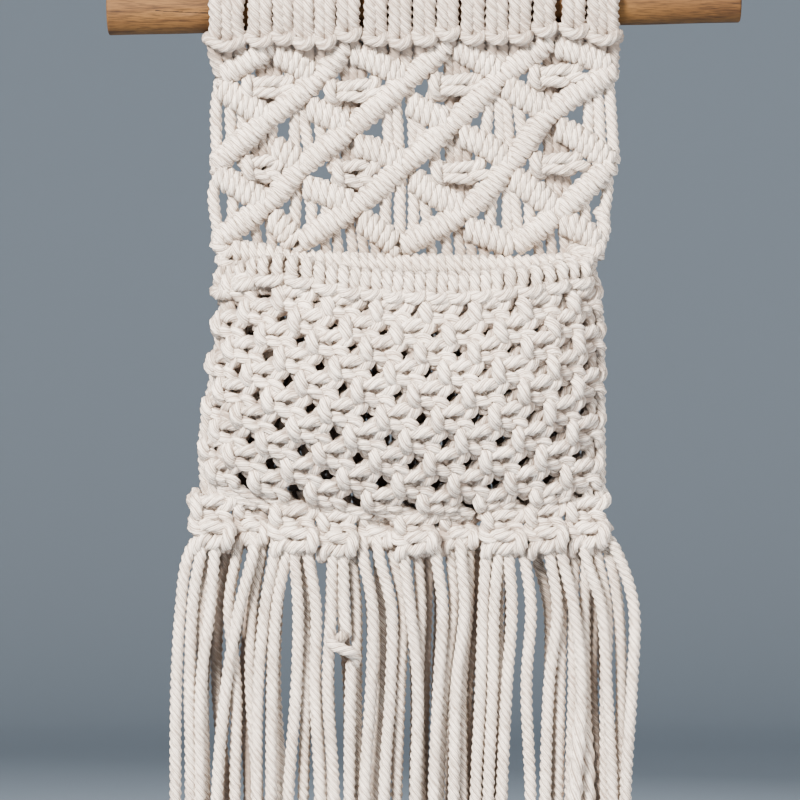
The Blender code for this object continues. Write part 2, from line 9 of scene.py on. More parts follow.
import bpy
import numpy as np
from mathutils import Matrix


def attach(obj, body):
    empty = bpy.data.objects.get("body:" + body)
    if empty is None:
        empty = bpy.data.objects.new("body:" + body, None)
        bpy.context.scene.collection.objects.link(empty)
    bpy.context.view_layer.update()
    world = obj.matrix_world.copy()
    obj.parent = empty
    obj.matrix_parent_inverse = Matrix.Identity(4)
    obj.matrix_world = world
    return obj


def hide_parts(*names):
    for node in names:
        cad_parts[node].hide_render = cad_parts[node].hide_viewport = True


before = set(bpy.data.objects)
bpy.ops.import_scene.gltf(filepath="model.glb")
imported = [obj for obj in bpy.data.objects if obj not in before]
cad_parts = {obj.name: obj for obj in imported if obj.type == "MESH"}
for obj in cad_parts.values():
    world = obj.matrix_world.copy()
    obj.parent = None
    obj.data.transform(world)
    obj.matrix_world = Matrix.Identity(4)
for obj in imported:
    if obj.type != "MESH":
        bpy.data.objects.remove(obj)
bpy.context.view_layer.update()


# The rod is a straight stick of pine dowel, sawn square and lightly sanded. It is oiled, so it is
# a warm tan with darker growth streaks, and it has one fine drying crack near the left end.

ROD_LENGTH = 265.0
ROD_RADIUS = 10.0
ROD_TILT = math.radians(1.17)  # the right end hangs higher
ROD_EDGE = 0.9
PINE_LIGHT = "#664823"
PINE_DARK = "#412812"
PINE_STREAK = "#2E1A09"
GRAIN_WIDTH = 0.9  # millimetres between growth streaks round the rod
GRAIN_LENGTH = 12.0
CRACK = (-98.0, -4.0, 14.0, -0.05)  # middle x, height, half length and how it rises to the right
CRACK_WIDTH = 0.36  # of its dark line
CRACK_GROOVE = 0.35  # of the groove in the surface, at about a third of its depth
CRACK_WANDER = 0.8  # how far the dark line wanders up and down with the grain
CRACK_DARK = "#120A05"


def linear(sRGB_hex):
    """An sRGB hex colour as linear RGBA: each channel through the sRGB curve, undone."""
    channels = [int(sRGB_hex[k:k + 2], 16) / 255 for k in (1, 3, 5)]
    undone = [c / 12.92 if c <= 0.04045 else ((c + 0.055) / 1.055) ** 2.4 for c in channels]
    return (*undone, 1.0)


def add_node(tree, kind, settings=(), **links):
    """Adds a node, sets its properties from a dict, and fills its sockets: a value that is an
    output socket is linked, and any other is the socket's own number or colour."""
    made = tree.nodes.new(kind)
    sockets = {}
    for name, value in dict(settings).items():
        if hasattr(made, name):
            setattr(made, name, value)
        else:
            sockets[name] = value
    sockets.update(links)
    for name, value in sockets.items():
        socket = made.inputs[int(name[1:])] if name[0] == "i" and name[1:].isdigit() else made.inputs[name]
        if isinstance(value, bpy.types.NodeSocket):
            tree.links.new(value, socket)
        else:
            socket.default_value = value
    return made


def new_material(name):
    """An empty node material: its tree and its Principled shader."""
    made = bpy.data.materials.new(name)
    made.use_nodes = True
    return made, made.node_tree, made.node_tree.nodes["Principled BSDF"]


def mesh_piece(name, points, faces, material, smooth=True):
    """A piece from points in millimetres (x, depth, z) and faces that are rows of one length."""
    mesh = bpy.data.meshes.new(name)
    metres = np.column_stack([points[:, 0], -points[:, 1], points[:, 2]]) * 0.001
    corners = [np.ravel(group) for group in faces]
    sizes = np.concatenate([np.full(len(group), np.shape(group)[1]) for group in faces])
    mesh.vertices.add(len(metres))
    mesh.vertices.foreach_set("co", metres.astype(np.float32).ravel())
    mesh.loops.add(int(sizes.sum()))
    mesh.loops.foreach_set("vertex_index", np.concatenate(corners).astype(np.int32))
    mesh.polygons.add(len(sizes))
    mesh.polygons.foreach_set("loop_start", (np.cumsum(sizes) - sizes).astype(np.int32))
    mesh.polygons.foreach_set("use_smooth", np.full(len(sizes), smooth))
    mesh.update(calc_edges=True)
    mesh.materials.append(material)
    piece = bpy.data.objects.new(name, mesh)
    bpy.context.scene.collection.objects.link(piece)
    return piece


def pine():
    """Oiled pine: soft brown growth streaks that run along the rod, fine pores, a dull gloss,
    and the crack as a dark line on the front, where a point's height differs from the crack's
    own, which wanders a little with the grain, by less than half its width."""
    material, tree, shader = new_material("oiled_pine")
    place = add_node(tree, "ShaderNodeTexCoord")
    along = (1 / GRAIN_LENGTH * 1000, 1 / GRAIN_WIDTH * 1000, 1 / GRAIN_WIDTH * 1000)
    grain = add_node(tree, "ShaderNodeMapping", Vector=place.outputs["Object"], Scale=along)
    streaks = add_node(tree, "ShaderNodeTexNoise", {"Scale": 0.35, "Detail": 6.0, "Roughness": 0.62},
                       Vector=grain.outputs["Vector"])
    fine = add_node(tree, "ShaderNodeTexNoise", {"Scale": 2.2, "Detail": 3.0},
                    Vector=grain.outputs["Vector"])
    broad = add_node(tree, "ShaderNodeTexNoise", {"Scale": 28.0, "Detail": 2.0},
                     Vector=place.outputs["Object"])
    tan = add_node(tree, "ShaderNodeMix", {"data_type": "RGBA"}, i0=broad.outputs["Fac"],
                   i6=linear(PINE_LIGHT), i7=linear(PINE_DARK))
    ramp = add_node(tree, "ShaderNodeMapRange", {"From Min": 0.5, "From Max": 0.72},
                    Value=streaks.outputs["Fac"])
    streaked = add_node(tree, "ShaderNodeMix", {"data_type": "RGBA"}, i0=ramp.outputs["Result"],
                        i6=tan.outputs[2], i7=linear(PINE_STREAK))
    pores = add_node(tree, "ShaderNodeMapRange",
                     {"From Min": 0.36, "From Max": 0.55, "To Min": 0.5, "To Max": 1.0},
                     Value=fine.outputs["Fac"])
    dotted = add_node(tree, "ShaderNodeMix", {"data_type": "RGBA", "blend_type": "MULTIPLY"}, i0=1.0,
                      i6=streaked.outputs[2], i7=pores.outputs["Result"])
    bump = add_node(tree, "ShaderNodeBump", {"Strength": 0.25, "Distance": 0.0002},
                    Height=fine.outputs["Fac"])
    middle_x, height, reach, rise = CRACK
    parts = add_node(tree, "ShaderNodeSeparateXYZ", i0=place.outputs["Object"])
    wander = add_node(tree, "ShaderNodeMath", {"operation": "MULTIPLY_ADD"},
                      i0=fine.outputs["Fac"], i1=CRACK_WANDER * 0.001, i2=parts.outputs["Z"])
    level = add_node(tree, "ShaderNodeMath", {"operation": "MULTIPLY_ADD"},
                     i0=parts.outputs["X"], i1=-rise, i2=wander.outputs[0])
    on_line = add_node(tree, "ShaderNodeMath", {"operation": "COMPARE"}, i0=level.outputs[0],
                       i1=(height - rise * middle_x + CRACK_WANDER / 2) * 0.001,
                       i2=CRACK_WIDTH / 2 * 0.001)
    near = add_node(tree, "ShaderNodeMath", {"operation": "COMPARE"}, i0=parts.outputs["X"],
                    i1=middle_x * 0.001, i2=reach * 0.001)
    front = add_node(tree, "ShaderNodeMath", {"operation": "LESS_THAN"}, i0=parts.outputs["Y"], i1=0.0)
    short = add_node(tree, "ShaderNodeMath", {"operation": "MULTIPLY"},
                     i0=on_line.outputs[0], i1=near.outputs[0])
    crack = add_node(tree, "ShaderNodeMath", {"operation": "MULTIPLY"},
                     i0=short.outputs[0], i1=front.outputs[0])
    cracked = add_node(tree, "ShaderNodeMix", {"data_type": "RGBA"}, i0=crack.outputs[0],
                       i6=dotted.outputs[2], i7=linear(CRACK_DARK))
    tree.links.new(cracked.outputs[2], shader.inputs["Base Color"])
    tree.links.new(bump.outputs["Normal"], shader.inputs["Normal"])
    shader.inputs["Roughness"].default_value = 0.75
    shader.inputs["Specular IOR Level"].default_value = 0.2
    return material


def grid_quads(rings, sides):
    """The quads between rings of points that follow one another, each ring closed on itself."""
    ring, side = np.meshgrid(np.arange(rings - 1), np.arange(sides), indexing="ij")
    after = (side + 1) % sides
    corners = (ring * sides + side, (ring + 1) * sides + side, (ring + 1) * sides + after,
               ring * sides + after)
    return np.stack(corners, axis=-1).reshape(-1, 4)


def rod_surface(rings=160, sides=64):
    """A round bar on a grid of way along and angle: radius 10, a little uneven, rounded over at
    the sawn ends, closed by a middle point at each. The crack is a sharp narrow groove."""
    half = ROD_LENGTH / 2
    inner = np.linspace(-half + ROD_EDGE, half - ROD_EDGE, rings)
    bend = np.linspace(0, np.pi / 2, 5)
    x = np.concatenate([-half + ROD_EDGE - ROD_EDGE * np.cos(bend), inner[1:-1],
                        half - ROD_EDGE + ROD_EDGE * np.cos(bend[::-1])])
    drop = ROD_EDGE * (1 - np.sin(bend))
    drop = np.concatenate([drop, np.zeros(rings - 2), drop[::-1]])
    turn = np.arange(sides) * 2 * np.pi / sides
    along, angle = np.meshgrid(x, turn, indexing="ij")
    uneven = 0.12 * np.sin(along * 0.05 + 2 * angle) + 0.08 * np.sin(along * 0.13 + 3 * angle + 1)
    radius = ROD_RADIUS - 0.15 - drop[:, None] + uneven
    depth, height = radius * np.cos(angle), radius * np.sin(angle)
    middle_x, crack_height, reach, rise = CRACK
    tilt = math.tan(ROD_TILT)
    crack_line = crack_height - middle_x * tilt + (rise - tilt) * (along - middle_x)
    on_crack = np.exp(-((height - crack_line) / CRACK_GROOVE) ** 2)
    on_crack *= depth > 0
    on_crack *= np.clip(1 - np.abs(along - middle_x) / reach, 0, 1)
    depth = depth - 0.9 * on_crack
    points = np.stack([along, depth, height], axis=-1).reshape(-1, 3)
    points = np.vstack([points, [(-half, 0, 0), (half, 0, 0)]])
    cos, sin = math.cos(ROD_TILT), math.sin(ROD_TILT)
    points = np.column_stack([points[:, 0] * cos - points[:, 2] * sin, points[:, 1],
                              points[:, 0] * sin + points[:, 2] * cos])
    k = np.arange(sides)
    left = np.column_stack([np.full(sides, len(x) * sides), (k + 1) % sides, k])[:, ::-1]
    last = (len(x) - 1) * sides
    right = np.column_stack([np.full(sides, len(x) * sides + 1), last + k, last + (k + 1) % sides])[:, ::-1]
    return points, [grid_quads(len(x), sides), left, right]


rod = mesh_piece("rod_stick", *rod_surface(), pine())
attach(rod, "root")
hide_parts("rod")


# The heading: a row of sixteen lark's head knots of four-ply cotton cord round the rod. Each
# cord is folded, its fold lies as a bar in front below the rod, and both ends go down behind it.

COTTON = "#EFE2D3"
# COTTON_SHADE is the colour that painted shade darkens towards: in ply valleys, yarn lines, recesses and
# cords behind others. The fibre locks and patches use it too, as the cord's own uneven tone.
COTTON_SHADE = "#8C7C6F"
# The dark colour of painted deep shade, on the fronts of the cords inside the pocket.
COTTON_DEEP_SHADE = "#5E5146"
CORD_RADIUS = 2.6
LAY = 14.0  # length in which a ply goes once round the cord
PLIES = 4
PLY_OUTLINE = np.tile((0.84, 1.0), PLIES)  # a valley and a crest a ply
FIBRE = 0.9  # width of a lock of fibres
HEAD_CORD = 3.25  # radius of the folded cords, which run into each other a little
HEAD_BAR_CORD = 2.55  # their radius along the bar
HEAD_MIDDLE_CORD = 3.2  # radius of the third cord that some of them have between their ends
# Painted shade: the heading's cords are drawn this much darker all over.
HEAD_PAINTED_SHADE = 0.26
YARNS = 2  # yarns that show round each ply, with a thin painted line of shade between two of them

HEADS = (
    # x of the strands over the rod; x and z of the bar's middle, half its width
    ((-87.3, -82.0, -76.9), -82.5, -17.2, 8.4),
    ((-70.8, -65.6), -68.1, -15.9, 6.2),
    ((-60.4, -56.7), -58.5, -15.0, 5.2),
    ((-52.2, -48.1), -50.1, -16.6, 5.4),
    ((-43.3, -39.2), -41.3, -16.5, 4.4),
    ((-34.0, -29.2), -31.7, -13.7, 5.4),
    ((-22.5, -17.7), -20.0, -15.6, 5.6),
    ((-12.3, -7.5), -10.0, -16.5, 5.2),
    ((-2.1, 2.5), 0.2, -15.6, 5.2),
    ((7.8, 11.9), 9.9, -13.3, 5.0),
    ((18.0, 22.9), 20.4, -15.0, 5.4),
    ((28.2, 32.7), 30.4, -14.8, 5.0),
    ((37.7, 42.3), 40.0, -14.8, 5.0),
    ((48.1, 52.2), 50.2, -11.6, 5.2),
    ((60.0, 64.8), 62.5, -12.2, 6.0),
    ((70.0, 74.2, 79.0), 74.4, -14.8, 7.4),
)

# Where the bars of the web cross, from the rod down: x and z of each crossing, row by row.
CROSSINGS = (
    ((-62.9, -17.7), (-32.1, -17.3), (10.4, -16.4), (53.3, -15.6)),
    ((-85.8, -31.0), (-44.6, -31.5), (-6.7, -31.5), (32.9, -29.8), (79.6, -27.7)),
    ((-64.6, -47.7), (-30.0, -51.5), (12.5, -49.4), (53.3, -45.2)),
    ((-88.0, -67.7), (-50.4, -67.7), (-7.9, -66.9), (36.3, -66.5), (78.6, -66.9)),
    ((-65.4, -83.5), (-28.3, -84.4), (18.3, -85.6), (56.7, -86.9)),
    ((-86.7, -99.0), (-52.9, -100.2), (-10.0, -101.9), (37.9, -101.5), (73.3, -100.0)),
)


def smooth_route(knots, step):
    """Points at even steps on the curve through a cord's own points. Between two of them it is
    the cubic whose slope at each is half the way from the point before to the point after. A
    fourth column, the radius, is carried along."""
    knots = np.asarray(knots, float)
    knots = np.vstack([2 * knots[0] - knots[1], knots, 2 * knots[-1] - knots[-2]])
    before, here, after, beyond = knots[:-3], knots[1:-2], knots[2:-1], knots[3:]
    t = np.linspace(0, 1, 12, endpoint=False)[:, None, None]
    fine = 0.5 * (2 * here + (after - before) * t + (2 * before - 5 * here + 4 * after - beyond) * t**2
                  + (3 * here - before - 3 * after + beyond) * t**3)
    fine = np.vstack([fine.transpose(1, 0, 2).reshape(-1, knots.shape[1]), knots[-2]])
    length = np.concatenate([[0], np.cumsum(np.linalg.norm(np.diff(fine[:, :3], axis=0), axis=1))])
    even = np.linspace(0, length[-1], max(3, round(length[-1] / step) + 1))
    return np.column_stack([np.interp(even, length, column) for column in fine.T]), even


def unit(vectors):
    return vectors / np.maximum(np.linalg.norm(vectors, axis=-1, keepdims=True), 1e-9)


def lay_cord(knots, radius=CORD_RADIUS, step=1.15, lay=LAY, painted_shade=0.0, valley=1.0, seed=0.0):
    """One twisted cord: the ply outline carried along the route, turned once in each length of
    lay. Its frame starts across the direction that the route uses least, and the turn of that
    frame from ring to ring is taken out, so that only the lay twists the cord."""
    path, length = smooth_route(knots, step)
    if path.shape[1] == 4:
        path, radius = path[:, :3], path[:, 3]
    along = unit(np.gradient(path, axis=0))
    least = np.linalg.eigh(along.T @ along)[1][:, 0]
    side = unit(np.cross(along, least))
    up = np.cross(along, side)
    axis = np.cross(along[:-1], along[1:])
    cosine = np.sum(along[:-1] * along[1:], axis=1, keepdims=True)
    carried = side[:-1] + np.cross(axis, side[:-1])
    carried = carried + np.cross(axis, np.cross(axis, side[:-1])) / (1 + cosine)
    turn = np.arctan2(np.sum(carried * up[1:], axis=1), np.sum(carried * side[1:], axis=1))
    drift = np.concatenate([[0], np.cumsum(turn)])
    laid = np.concatenate([[0], np.cumsum(np.diff(length) / np.broadcast_to(lay, len(length))[1:])])
    ring = np.arange(len(PLY_OUTLINE)) * 2 * np.pi / len(PLY_OUTLINE)
    angle = drift[:, None] + 2 * np.pi * (laid[:, None] + seed) + ring
    outline = 1 - (1 - PLY_OUTLINE) * np.reshape(valley, (-1, 1))
    reach = np.reshape(radius, (-1, 1, 1)) * outline[:, :, None]
    cos, sin = np.cos(angle)[..., None], np.sin(angle)[..., None]
    points = path[:, None] + reach * (cos * side[:, None] + sin * up[:, None])
    # The cord's painted shade goes along with it, a darker share for cords that lie behind others.
    return {"points": points, "length": length, "painted_shade": painted_shade, "seed": seed}


def recess(points, cell=1.5, reach=2):
    """How deep each point lies in the work, from 0 to 1: its depth behind the foremost point
    within two cells, or its depth before the hindmost if that is less, less a cord's radius.
    It is drawn as painted shade, darker the deeper a point lies."""
    grid = ((points[:, (0, 2)] - points[:, (0, 2)].min(axis=0)) / cell).astype(int) + reach
    front = np.full(grid.max(axis=0) + 1 + reach, -1e3)
    back = -front
    np.maximum.at(front, tuple(grid.T), points[:, 1])
    np.minimum.at(back, tuple(grid.T), points[:, 1])
    steps = range(-reach, reach + 1)
    shifts = [(a, b) for a in steps for b in steps if a * a + b * b <= 5]
    foremost = np.max([np.roll(front, shift, (0, 1)) for shift in shifts], axis=0)[tuple(grid.T)]
    hindmost = np.min([np.roll(back, shift, (0, 1)) for shift in shifts], axis=0)[tuple(grid.T)]
    return np.clip((np.minimum(foremost - points[:, 1], points[:, 1] - hindmost) - 2.2) / 7.0, 0, 1)


def join_cords(name, cords, material):
    """One piece from many cords: quads between their rings and a flat cut at each end. Its UV is
    the way along the cord and round it in millimetres, and its attributes are the cord's own
    shade, a random number that moves its fibres, and its painted shade: the cord's own share for
    lying behind others, plus how deep in the work it lies."""
    sides = len(PLY_OUTLINE)
    points, quads, caps, uvs, painted_shades, shades = [], [], [], [], [], []
    first = 0
    for cord in cords:
        rings = len(cord["points"])
        quads.append(first + grid_quads(rings, sides))
        v = np.tile(np.arange(sides, dtype=float), (rings - 1, 1))
        u, later = cord["length"][:-1, None] + 0 * v, cord["length"][1:, None] + 0 * v
        uvs.append(np.stack([u, v, later, v, later, v + 1, u, v + 1], axis=-1).reshape(-1, 2))
        caps.append(first + np.stack([np.arange(sides), (rings - 1) * sides + np.arange(sides)[::-1]]))
        painted_shades.append(np.broadcast_to(cord["painted_shade"], rings * sides))
        shades.append(np.full(rings * sides, (cord["seed"] * 7.31) % 1.0))
        points.append(cord["points"].reshape(-1, 3))
        first += rings * sides
    caps, points = np.concatenate(caps), np.concatenate(points)
    piece = mesh_piece(name, points, [np.concatenate(quads), caps], material)
    cap_uv = np.column_stack([np.zeros(caps.size), np.tile(np.arange(sides), len(caps))])
    uv = np.vstack([*uvs, cap_uv]) * (0.1, 1 / sides)
    layer = piece.data.uv_layers.new(name="along_and_round")
    layer.data.foreach_set("uv", uv.astype(np.float32).ravel())
    # Painted shade: each cord's own share plus how deep each point lies in the work.
    painted_shade = np.concatenate(painted_shades) + recess(points)
    for title, values in (("painted_depth_shade", painted_shade), ("cord_shade", np.concatenate(shades))):
        attribute = piece.data.attributes.new(title, "FLOAT", "POINT")
        attribute.data.foreach_set("value", values.astype(np.float32))
    return piece


def cotton():
    """Natural combed cotton cord, four plies laid together: matt, off-white, soft locks of
    fibres that run along each ply, thin lines of painted shade between its yarns, a warmer
    painted shade down in the valleys between plies, and a darker painted shade deep in the work
    and on cords set behind others."""
    material, tree, shader = new_material("natural_cotton_cord")
    uv = add_node(tree, "ShaderNodeUVMap", {"uv_map": "along_and_round"})
    shade = add_node(tree, "ShaderNodeAttribute", {"attribute_name": "cord_shade"})
    painted_shade = add_node(tree, "ShaderNodeAttribute", {"attribute_name": "painted_depth_shade"})
    shift = add_node(tree, "ShaderNodeCombineXYZ", X=shade.outputs["Fac"], Z=shade.outputs["Fac"])
    moved = add_node(tree, "ShaderNodeVectorMath", {"operation": "MULTIPLY_ADD"}, i0=shift.outputs[0],
                     i1=(40.0, 0.0, 40.0), i2=uv.outputs["UV"])
    round_cord = 2 * math.pi * CORD_RADIUS
    locks = add_node(tree, "ShaderNodeMapping", Vector=moved.outputs[0],
                     Scale=(3.0, round_cord / FIBRE, 1.0))
    fibres = add_node(tree, "ShaderNodeTexNoise", {"Scale": 1.0, "Detail": 5.0, "Roughness": 0.65},
                      Vector=locks.outputs["Vector"])
    patches = add_node(tree, "ShaderNodeTexNoise", {"Scale": 60.0, "Detail": 2.0},
                       Vector=add_node(tree, "ShaderNodeTexCoord").outputs["Object"])
    parts = add_node(tree, "ShaderNodeSeparateXYZ", i0=uv.outputs["UV"])
    round_ply = add_node(tree, "ShaderNodeMath", {"operation": "MULTIPLY"}, i0=parts.outputs["Y"], i1=PLIES)
    share = add_node(tree, "ShaderNodeMath", {"operation": "FRACT"}, i0=round_ply.outputs[0])
    off_crest = add_node(tree, "ShaderNodeMath", {"operation": "SUBTRACT"}, i0=share.outputs[0], i1=0.5)
    valley = add_node(tree, "ShaderNodeMath", {"operation": "ABSOLUTE"}, i0=off_crest.outputs[0])
    # Painted shade: the groove between two plies is drawn darker.
    painted_valley_shade = add_node(tree, "ShaderNodeMapRange", {"From Min": 0.37, "From Max": 0.5, "To Max": 1.0},
                           Value=valley.outputs[0])
    fibre_tone_and_yarn_shade = add_node(tree, "ShaderNodeMapRange",
                          {"From Min": 0.34, "From Max": 0.54, "To Min": 0.65, "To Max": 0.0},
                          Value=fibres.outputs["Fac"])
    wander = add_node(tree, "ShaderNodeMath", {"operation": "MULTIPLY_ADD"}, i0=parts.outputs["Y"],
                      i1=PLIES * YARNS, i2=fibres.outputs["Fac"])
    yarn_share = add_node(tree, "ShaderNodeMath", {"operation": "PINGPONG"}, i0=wander.outputs[0], i1=0.5)
    # Painted shade: a thin dark line drawn in the groove between two yarns.
    painted_yarn_shade = add_node(tree, "ShaderNodeMapRange", {"From Min": 0.13, "From Max": 0.0, "To Max": 0.7},
                         Value=yarn_share.outputs[0])
    fibre_tone_and_yarn_shade = add_node(tree, "ShaderNodeMath", {"operation": "ADD"}, i0=fibre_tone_and_yarn_shade.outputs[0],
                          i1=painted_yarn_shade.outputs[0])
    patch_tone = add_node(tree, "ShaderNodeMapRange",
                          {"From Min": 0.35, "From Max": 0.7, "To Min": 0.0, "To Max": 0.22},
                          Value=patches.outputs["Fac"])
    first_sum = add_node(tree, "ShaderNodeMath", {"operation": "ADD"}, i0=painted_valley_shade.outputs[0],
                         i1=fibre_tone_and_yarn_shade.outputs[0])
    second_sum = add_node(tree, "ShaderNodeMath", {"operation": "ADD"}, i0=first_sum.outputs[0],
                          i1=patch_tone.outputs[0])
    # Painted shade from the depth attribute: points deep in the work and cords behind others are drawn
    # darker.
    shade_tone = add_node(tree, "ShaderNodeMath", {"operation": "MINIMUM"}, i0=painted_shade.outputs["Fac"], i1=1.0)
    third_sum = add_node(tree, "ShaderNodeMath", {"operation": "ADD", "use_clamp": True},
                         i0=second_sum.outputs[0], i1=shade_tone.outputs[0])
    shaded = add_node(tree, "ShaderNodeMix", {"data_type": "RGBA"}, i0=third_sum.outputs[0],
                      i6=linear(COTTON), i7=linear(COTTON_SHADE))
    # Painted deep shade: past 1 the same attribute darkens the colour further, for the cords inside the
    # pocket.
    painted_deep_shade = add_node(tree, "ShaderNodeMapRange", {"From Min": 1.0, "From Max": 2.0},
                         Value=painted_shade.outputs["Fac"])
    colour = add_node(tree, "ShaderNodeMix", {"data_type": "RGBA"}, i0=painted_deep_shade.outputs[0],
                      i6=shaded.outputs[2], i7=linear(COTTON_DEEP_SHADE))
    rounded = add_node(tree, "ShaderNodeMath", {"operation": "MULTIPLY"},
                       i0=valley.outputs[0], i1=valley.outputs[0])
    relief = add_node(tree, "ShaderNodeMath", {"operation": "MULTIPLY_ADD"}, i0=rounded.outputs[0],
                      i1=-2.0, i2=fibres.outputs["Fac"])
    bump = add_node(tree, "ShaderNodeBump", {"Strength": 0.8, "Distance": 0.0011},
                    Height=relief.outputs[0])
    tree.links.new(colour.outputs[2], shader.inputs["Base Color"])
    tree.links.new(bump.outputs["Normal"], shader.inputs["Normal"])
    shader.inputs["Roughness"].default_value = 0.95
    shader.inputs["Specular IOR Level"].default_value = 0.2
    shader.inputs["Sheen Weight"].default_value = 0.15
    shader.inputs["Sheen Roughness"].default_value = 0.6
    return material


def first_bar_height(x):
    """Height of the first bars of the web at x, along the zigzag of its first two rows."""
    zigzag = np.array(sorted(CROSSINGS[0] + CROSSINGS[1]))
    return float(np.interp(x, zigzag[:, 0], zigzag[:, 1]))


def over_the_rod(x, radius, from_angle, to_angle, points=9):
    """An arc round the rod at x, from one angle to another: 0 faces the viewer, 90 degrees is
    the top. The rod's tilt lifts it."""
    angle = np.radians(np.linspace(from_angle, to_angle, points))
    lift = x * math.tan(ROD_TILT)
    return np.column_stack([np.full(points, x), radius * np.cos(angle), radius * np.sin(angle) + lift])


def heading_cords():
    """The sixteen folded cords. A cord comes up behind its bar, goes over the rod, forward under
    it, across as the bar, and back the same way beside itself."""
    random = np.random.default_rng(5)
    cords = []
    around = ROD_RADIUS + 0.3 + CORD_RADIUS
    for strands, bar_x, bar_z, half in HEADS:
        ends = []
        for x, outward in ((strands[0], -1), (strands[-1], 1)):
            foot_x = np.clip(x + random.uniform(-0.8, 0.8), -84.5, 78.5)
            foot_z = first_bar_height(foot_x)
            tail = [(foot_x, 4.0, min(foot_z, bar_z - 5.0)), (x, 6.6, bar_z - 3.4), (x, 8.6, bar_z + 1.5)]
            tuck = [(bar_x + outward * (half - 1.4), 2.5, -14.0),
                    (bar_x + outward * (half - 1.0), 9.2, bar_z + 1.9)]
            arc = over_the_rod(x, around + random.uniform(0, 0.25), -28, 232)
            arc[:3, 0] += (bar_x - x) * np.array((0.2, 0.12, 0.02))
            ends.append(np.vstack([tail, arc, tuck]))
        bow = random.uniform(-0.5, 0.3)
        bar = [(bar_x - half * 0.45, 12.4, bar_z - 0.6), (bar_x, 13.2, bar_z - 1.3 + bow),
               (bar_x + half * 0.45, 12.4, bar_z - 0.5)]
        route = np.vstack([ends[0], bar, ends[1][::-1]])
        radius = np.full(len(route), HEAD_CORD)
        radius[len(ends[0]) - 1:len(ends[0]) + 4] = HEAD_BAR_CORD
        cords.append(lay_cord(np.column_stack([route, radius]), painted_shade=HEAD_PAINTED_SHADE, seed=random.random()))
        if len(strands) == 3:
            x = strands[1]
            plain = np.vstack([[(x, 5.0, bar_z - 6.0), (x, 8.4, bar_z + 1.5)],
                               over_the_rod(x, around, -28, 240), [(x, 1.0, -15.5)]])
            cords.append(lay_cord(plain, HEAD_MIDDLE_CORD, painted_shade=HEAD_PAINTED_SHADE, seed=random.random()))
    return cords


cotton_cord = cotton()
heading = join_cords("larks_head_heading", heading_cords(), cotton_cord)
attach(heading, "root")
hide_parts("heading")


# The web: bars of double half hitches that run slantwise down to both sides and cross, so that
# they make diamonds. A bar is one straight cord with the others wound twice round it in turn.

BAR_DEPTH = 5.4
WIND_RADIUS = 3.2  # from the middle of a bar to the middle of the cord wound round it
WOUND_CORD = 2.4  # the wound cord is squashed
WIND_PITCH = 3.55
CARRIER_CORD = 2.3
WAIST = 0.24  # how far a bar on top is drawn in where it crosses another
UPRIGHT = math.radians(-15)  # lean of the turns on the bars that fall to the right
STEEP = math.radians(-18)  # and on those that fall to the left
UNDER_BAR = (3.3, 3.55, 2.45)  # pitch, winding radius and cord of the bars that pass beneath

# Chains of crossings, as (row, place), that the bars follow which fall to the left: they lie on
# top and are whole.
BARS_LEFT = (
    ((0, 0), (1, 0)),
    ((0, 1), (1, 1), (2, 0), (3, 0)),
    ((0, 2), (1, 2), (2, 1), (3, 1), (4, 0), (5, 0)),
    ((0, 3), (1, 3), (2, 2), (3, 2), (4, 1), (5, 1)),
    ((1, 4), (2, 3), (3, 3), (4, 2), (5, 2)),
    ((3, 4), (4, 3), (5, 3)),
)
# The bars that fall to the right start low, under the ones they pass beneath: how far each starts
# to the right of its crossing and below it, and how far it bows up, from the top row down.
BARS_RIGHT = (
    ((1.8, 3.4, 1.2), (2.7, 3.2, 1.0), (3.6, 1.9, 0.5), (2.4, 2.1, 1.4)),
    ((1.7, 3.9, -0.7), (-3.0, 12.0, 0.0), (1.3, 10.2, -1.4), (1.9, 4.5, -0.7)),
    ((2.6, 13.0, 0.8), (2.1, 8.0, 1.0), (3.3, 5.5, 1.5), (3.0, 6.9, 1.5)),
    ((2.0, 3.5, 0.0), (1.0, 9.0, 0.6), (4.0, 6.4, -1.8), (1.3, 6.5, 0.6)),
    ((2.2, 6.7, 1.4), (2.5, 6.1, 0.5), (0.0, 8.3, 0.0), (0.9, 4.9, 1.4)),
)


def crossing(row, place, depth=BAR_DEPTH):
    x, z = CROSSINGS[row][place]
    return np.array((x, depth, z))


def right_bar(row, place):
    """Five points of a bar that falls to the right, from below its crossing to the next one: a
    straight line plus a bow that goes with the sine of the way."""
    across, drop, bow = BARS_RIGHT[row][place]
    start = np.array(CROSSINGS[row][place]) + (across, -drop)
    end = np.array(CROSSINGS[row + 1][place + 1 - row % 2]) + (-1.3, 0.6)
    way = np.linspace(0, 1, 5)[:, None]
    return start + (end - start) * way + np.sin(np.pi * way) * (0, bow)


